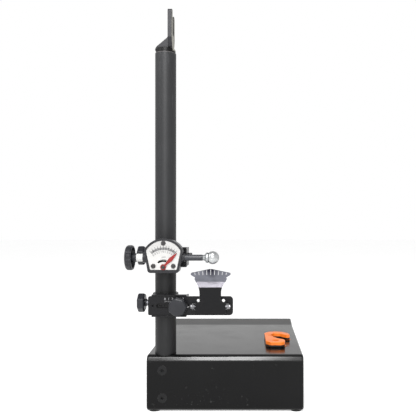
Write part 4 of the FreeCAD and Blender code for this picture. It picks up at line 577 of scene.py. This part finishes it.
def make_bar_marks(pale):
    """Print the bar's small numbers and strokes above its slot."""
    shape = bmesh.new()
    for index in range(BAR_NUMBERS):
        x = BAR_SCALE_LEFT + index * BAR_MARKS_A_NUMBER * BAR_MARK_SPACING
        add_text(shape, str(index), BAR_NUMBER_SIZE, x, BAR_FRONT, BAR_NUMBER_HEIGHT)
    for index in range(BAR_MARKS):
        x = BAR_SCALE_LEFT + index * BAR_MARK_SPACING
        length = BAR_MARK_LENGTH if index % BAR_MARKS_A_NUMBER else BAR_LONG_MARK_LENGTH
        foot = (x, BAR_MARK_TOP - length)
        add_stroke(shape, (x, BAR_MARK_TOP), foot, BAR_MARK_WIDTH, BAR_FRONT)
    make_piece("bar_marks", shape, pale, "radial_bar")


# Light and floor

AIM = (0.08, 0, 0.1)
FADE_START = 0.42
FADE_END = 0.85
ZENITH_STRENGTH = 0.3
FLOOR_REACH = 6
FLOOR_GLOW = 0.5


def area_light(name, place, aim, size, radiance):
    """Add a soft rectangular light of an even radiance."""
    data = bpy.data.lights.new(name, "AREA")
    data.shape = "RECTANGLE"
    data.size, data.size_y = size
    data.energy = radiance * math.pi * size[0] * size[1]
    light = bpy.data.objects.new(name, data)
    light.location = place
    light.rotation_euler = (Vector(aim) - Vector(place)).to_track_quat("-Z", "Y").to_euler()
    bpy.context.scene.collection.objects.link(light)


def around(azimuth, elevation, distance):
    """Return a place around the stand; azimuth 0 lies towards the camera."""
    turn, tilt = math.radians(azimuth), math.radians(elevation)
    return (AIM[0] + distance * math.sin(turn) * math.cos(tilt),
            AIM[1] - distance * math.cos(turn) * math.cos(tilt),
            AIM[2] + distance * math.sin(tilt))


def make_world():
    """White surroundings that darken towards the zenith."""
    world = bpy.data.worlds.new("studio")
    world.use_nodes = True
    tree = world.node_tree
    place = tree.nodes.new("ShaderNodeTexCoord")
    split = tree.nodes.new("ShaderNodeSeparateXYZ")
    fade = tree.nodes.new("ShaderNodeMapRange")
    fade.inputs["From Min"].default_value = FADE_START
    fade.inputs["From Max"].default_value = FADE_END
    fade.inputs["To Min"].default_value = 1.0
    fade.inputs["To Max"].default_value = ZENITH_STRENGTH
    background = tree.nodes["Background"]
    background.inputs["Color"].default_value = (1, 1, 1, 1)
    tree.links.new(place.outputs["Generated"], split.inputs[0])
    tree.links.new(split.outputs["Z"], fade.inputs["Value"])
    tree.links.new(fade.outputs["Result"], background.inputs["Strength"])
    bpy.context.scene.world = world


def make_studio():
    """Pale floor that meets a white background, and soft lights."""
    make_world()
    mesh = bpy.data.meshes.new("studio_floor")
    floor = bpy.data.objects.new("studio_floor", mesh)
    shape = bmesh.new()
    bmesh.ops.create_grid(shape, x_segments=1, y_segments=1, size=FLOOR_REACH)
    shape.to_mesh(mesh)
    shape.free()
    bpy.context.scene.collection.objects.link(floor)
    surface = Surface("floor_finish", (0.8, 0.8, 0.8), 0.95, 0.0, 1.1)
    surface.shader.inputs["Emission Color"].default_value = (1, 1, 1, 1)
    surface.shader.inputs["Emission Strength"].default_value = FLOOR_GLOW
    surface.clouds(4, (0.78, 0.78, 0.78))
    mesh.materials.append(surface.material)
    area_light("front_box_low", around(-3, 24, 1.3), AIM, (0.3, 0.62), 14)
    area_light("front_box_high", around(-3, 58, 1.2), AIM, (0.3, 0.8), 14)
    area_light("side_box", around(-62, 40, 1.3), (0.0, 0, 0.35), (0.4, 0.7), 4)
    area_light("top_box", (-0.12, -0.5, 0.85), (0, 0, 0.45), (0.3, 0.3), 5)


bpy.context.scene.view_settings.view_transform = "Standard"
make_camera()
finishes = make_finishes()
dress_nodes(finishes)
make_dial_marks(ink("dark_ink", (0.03, 0.03, 0.032)))
pale_ink = ink("pale_ink", (0.3, 0.3, 0.31))
make_feeler_marks(pale_ink)
make_bar_marks(pale_ink)
make_studio()
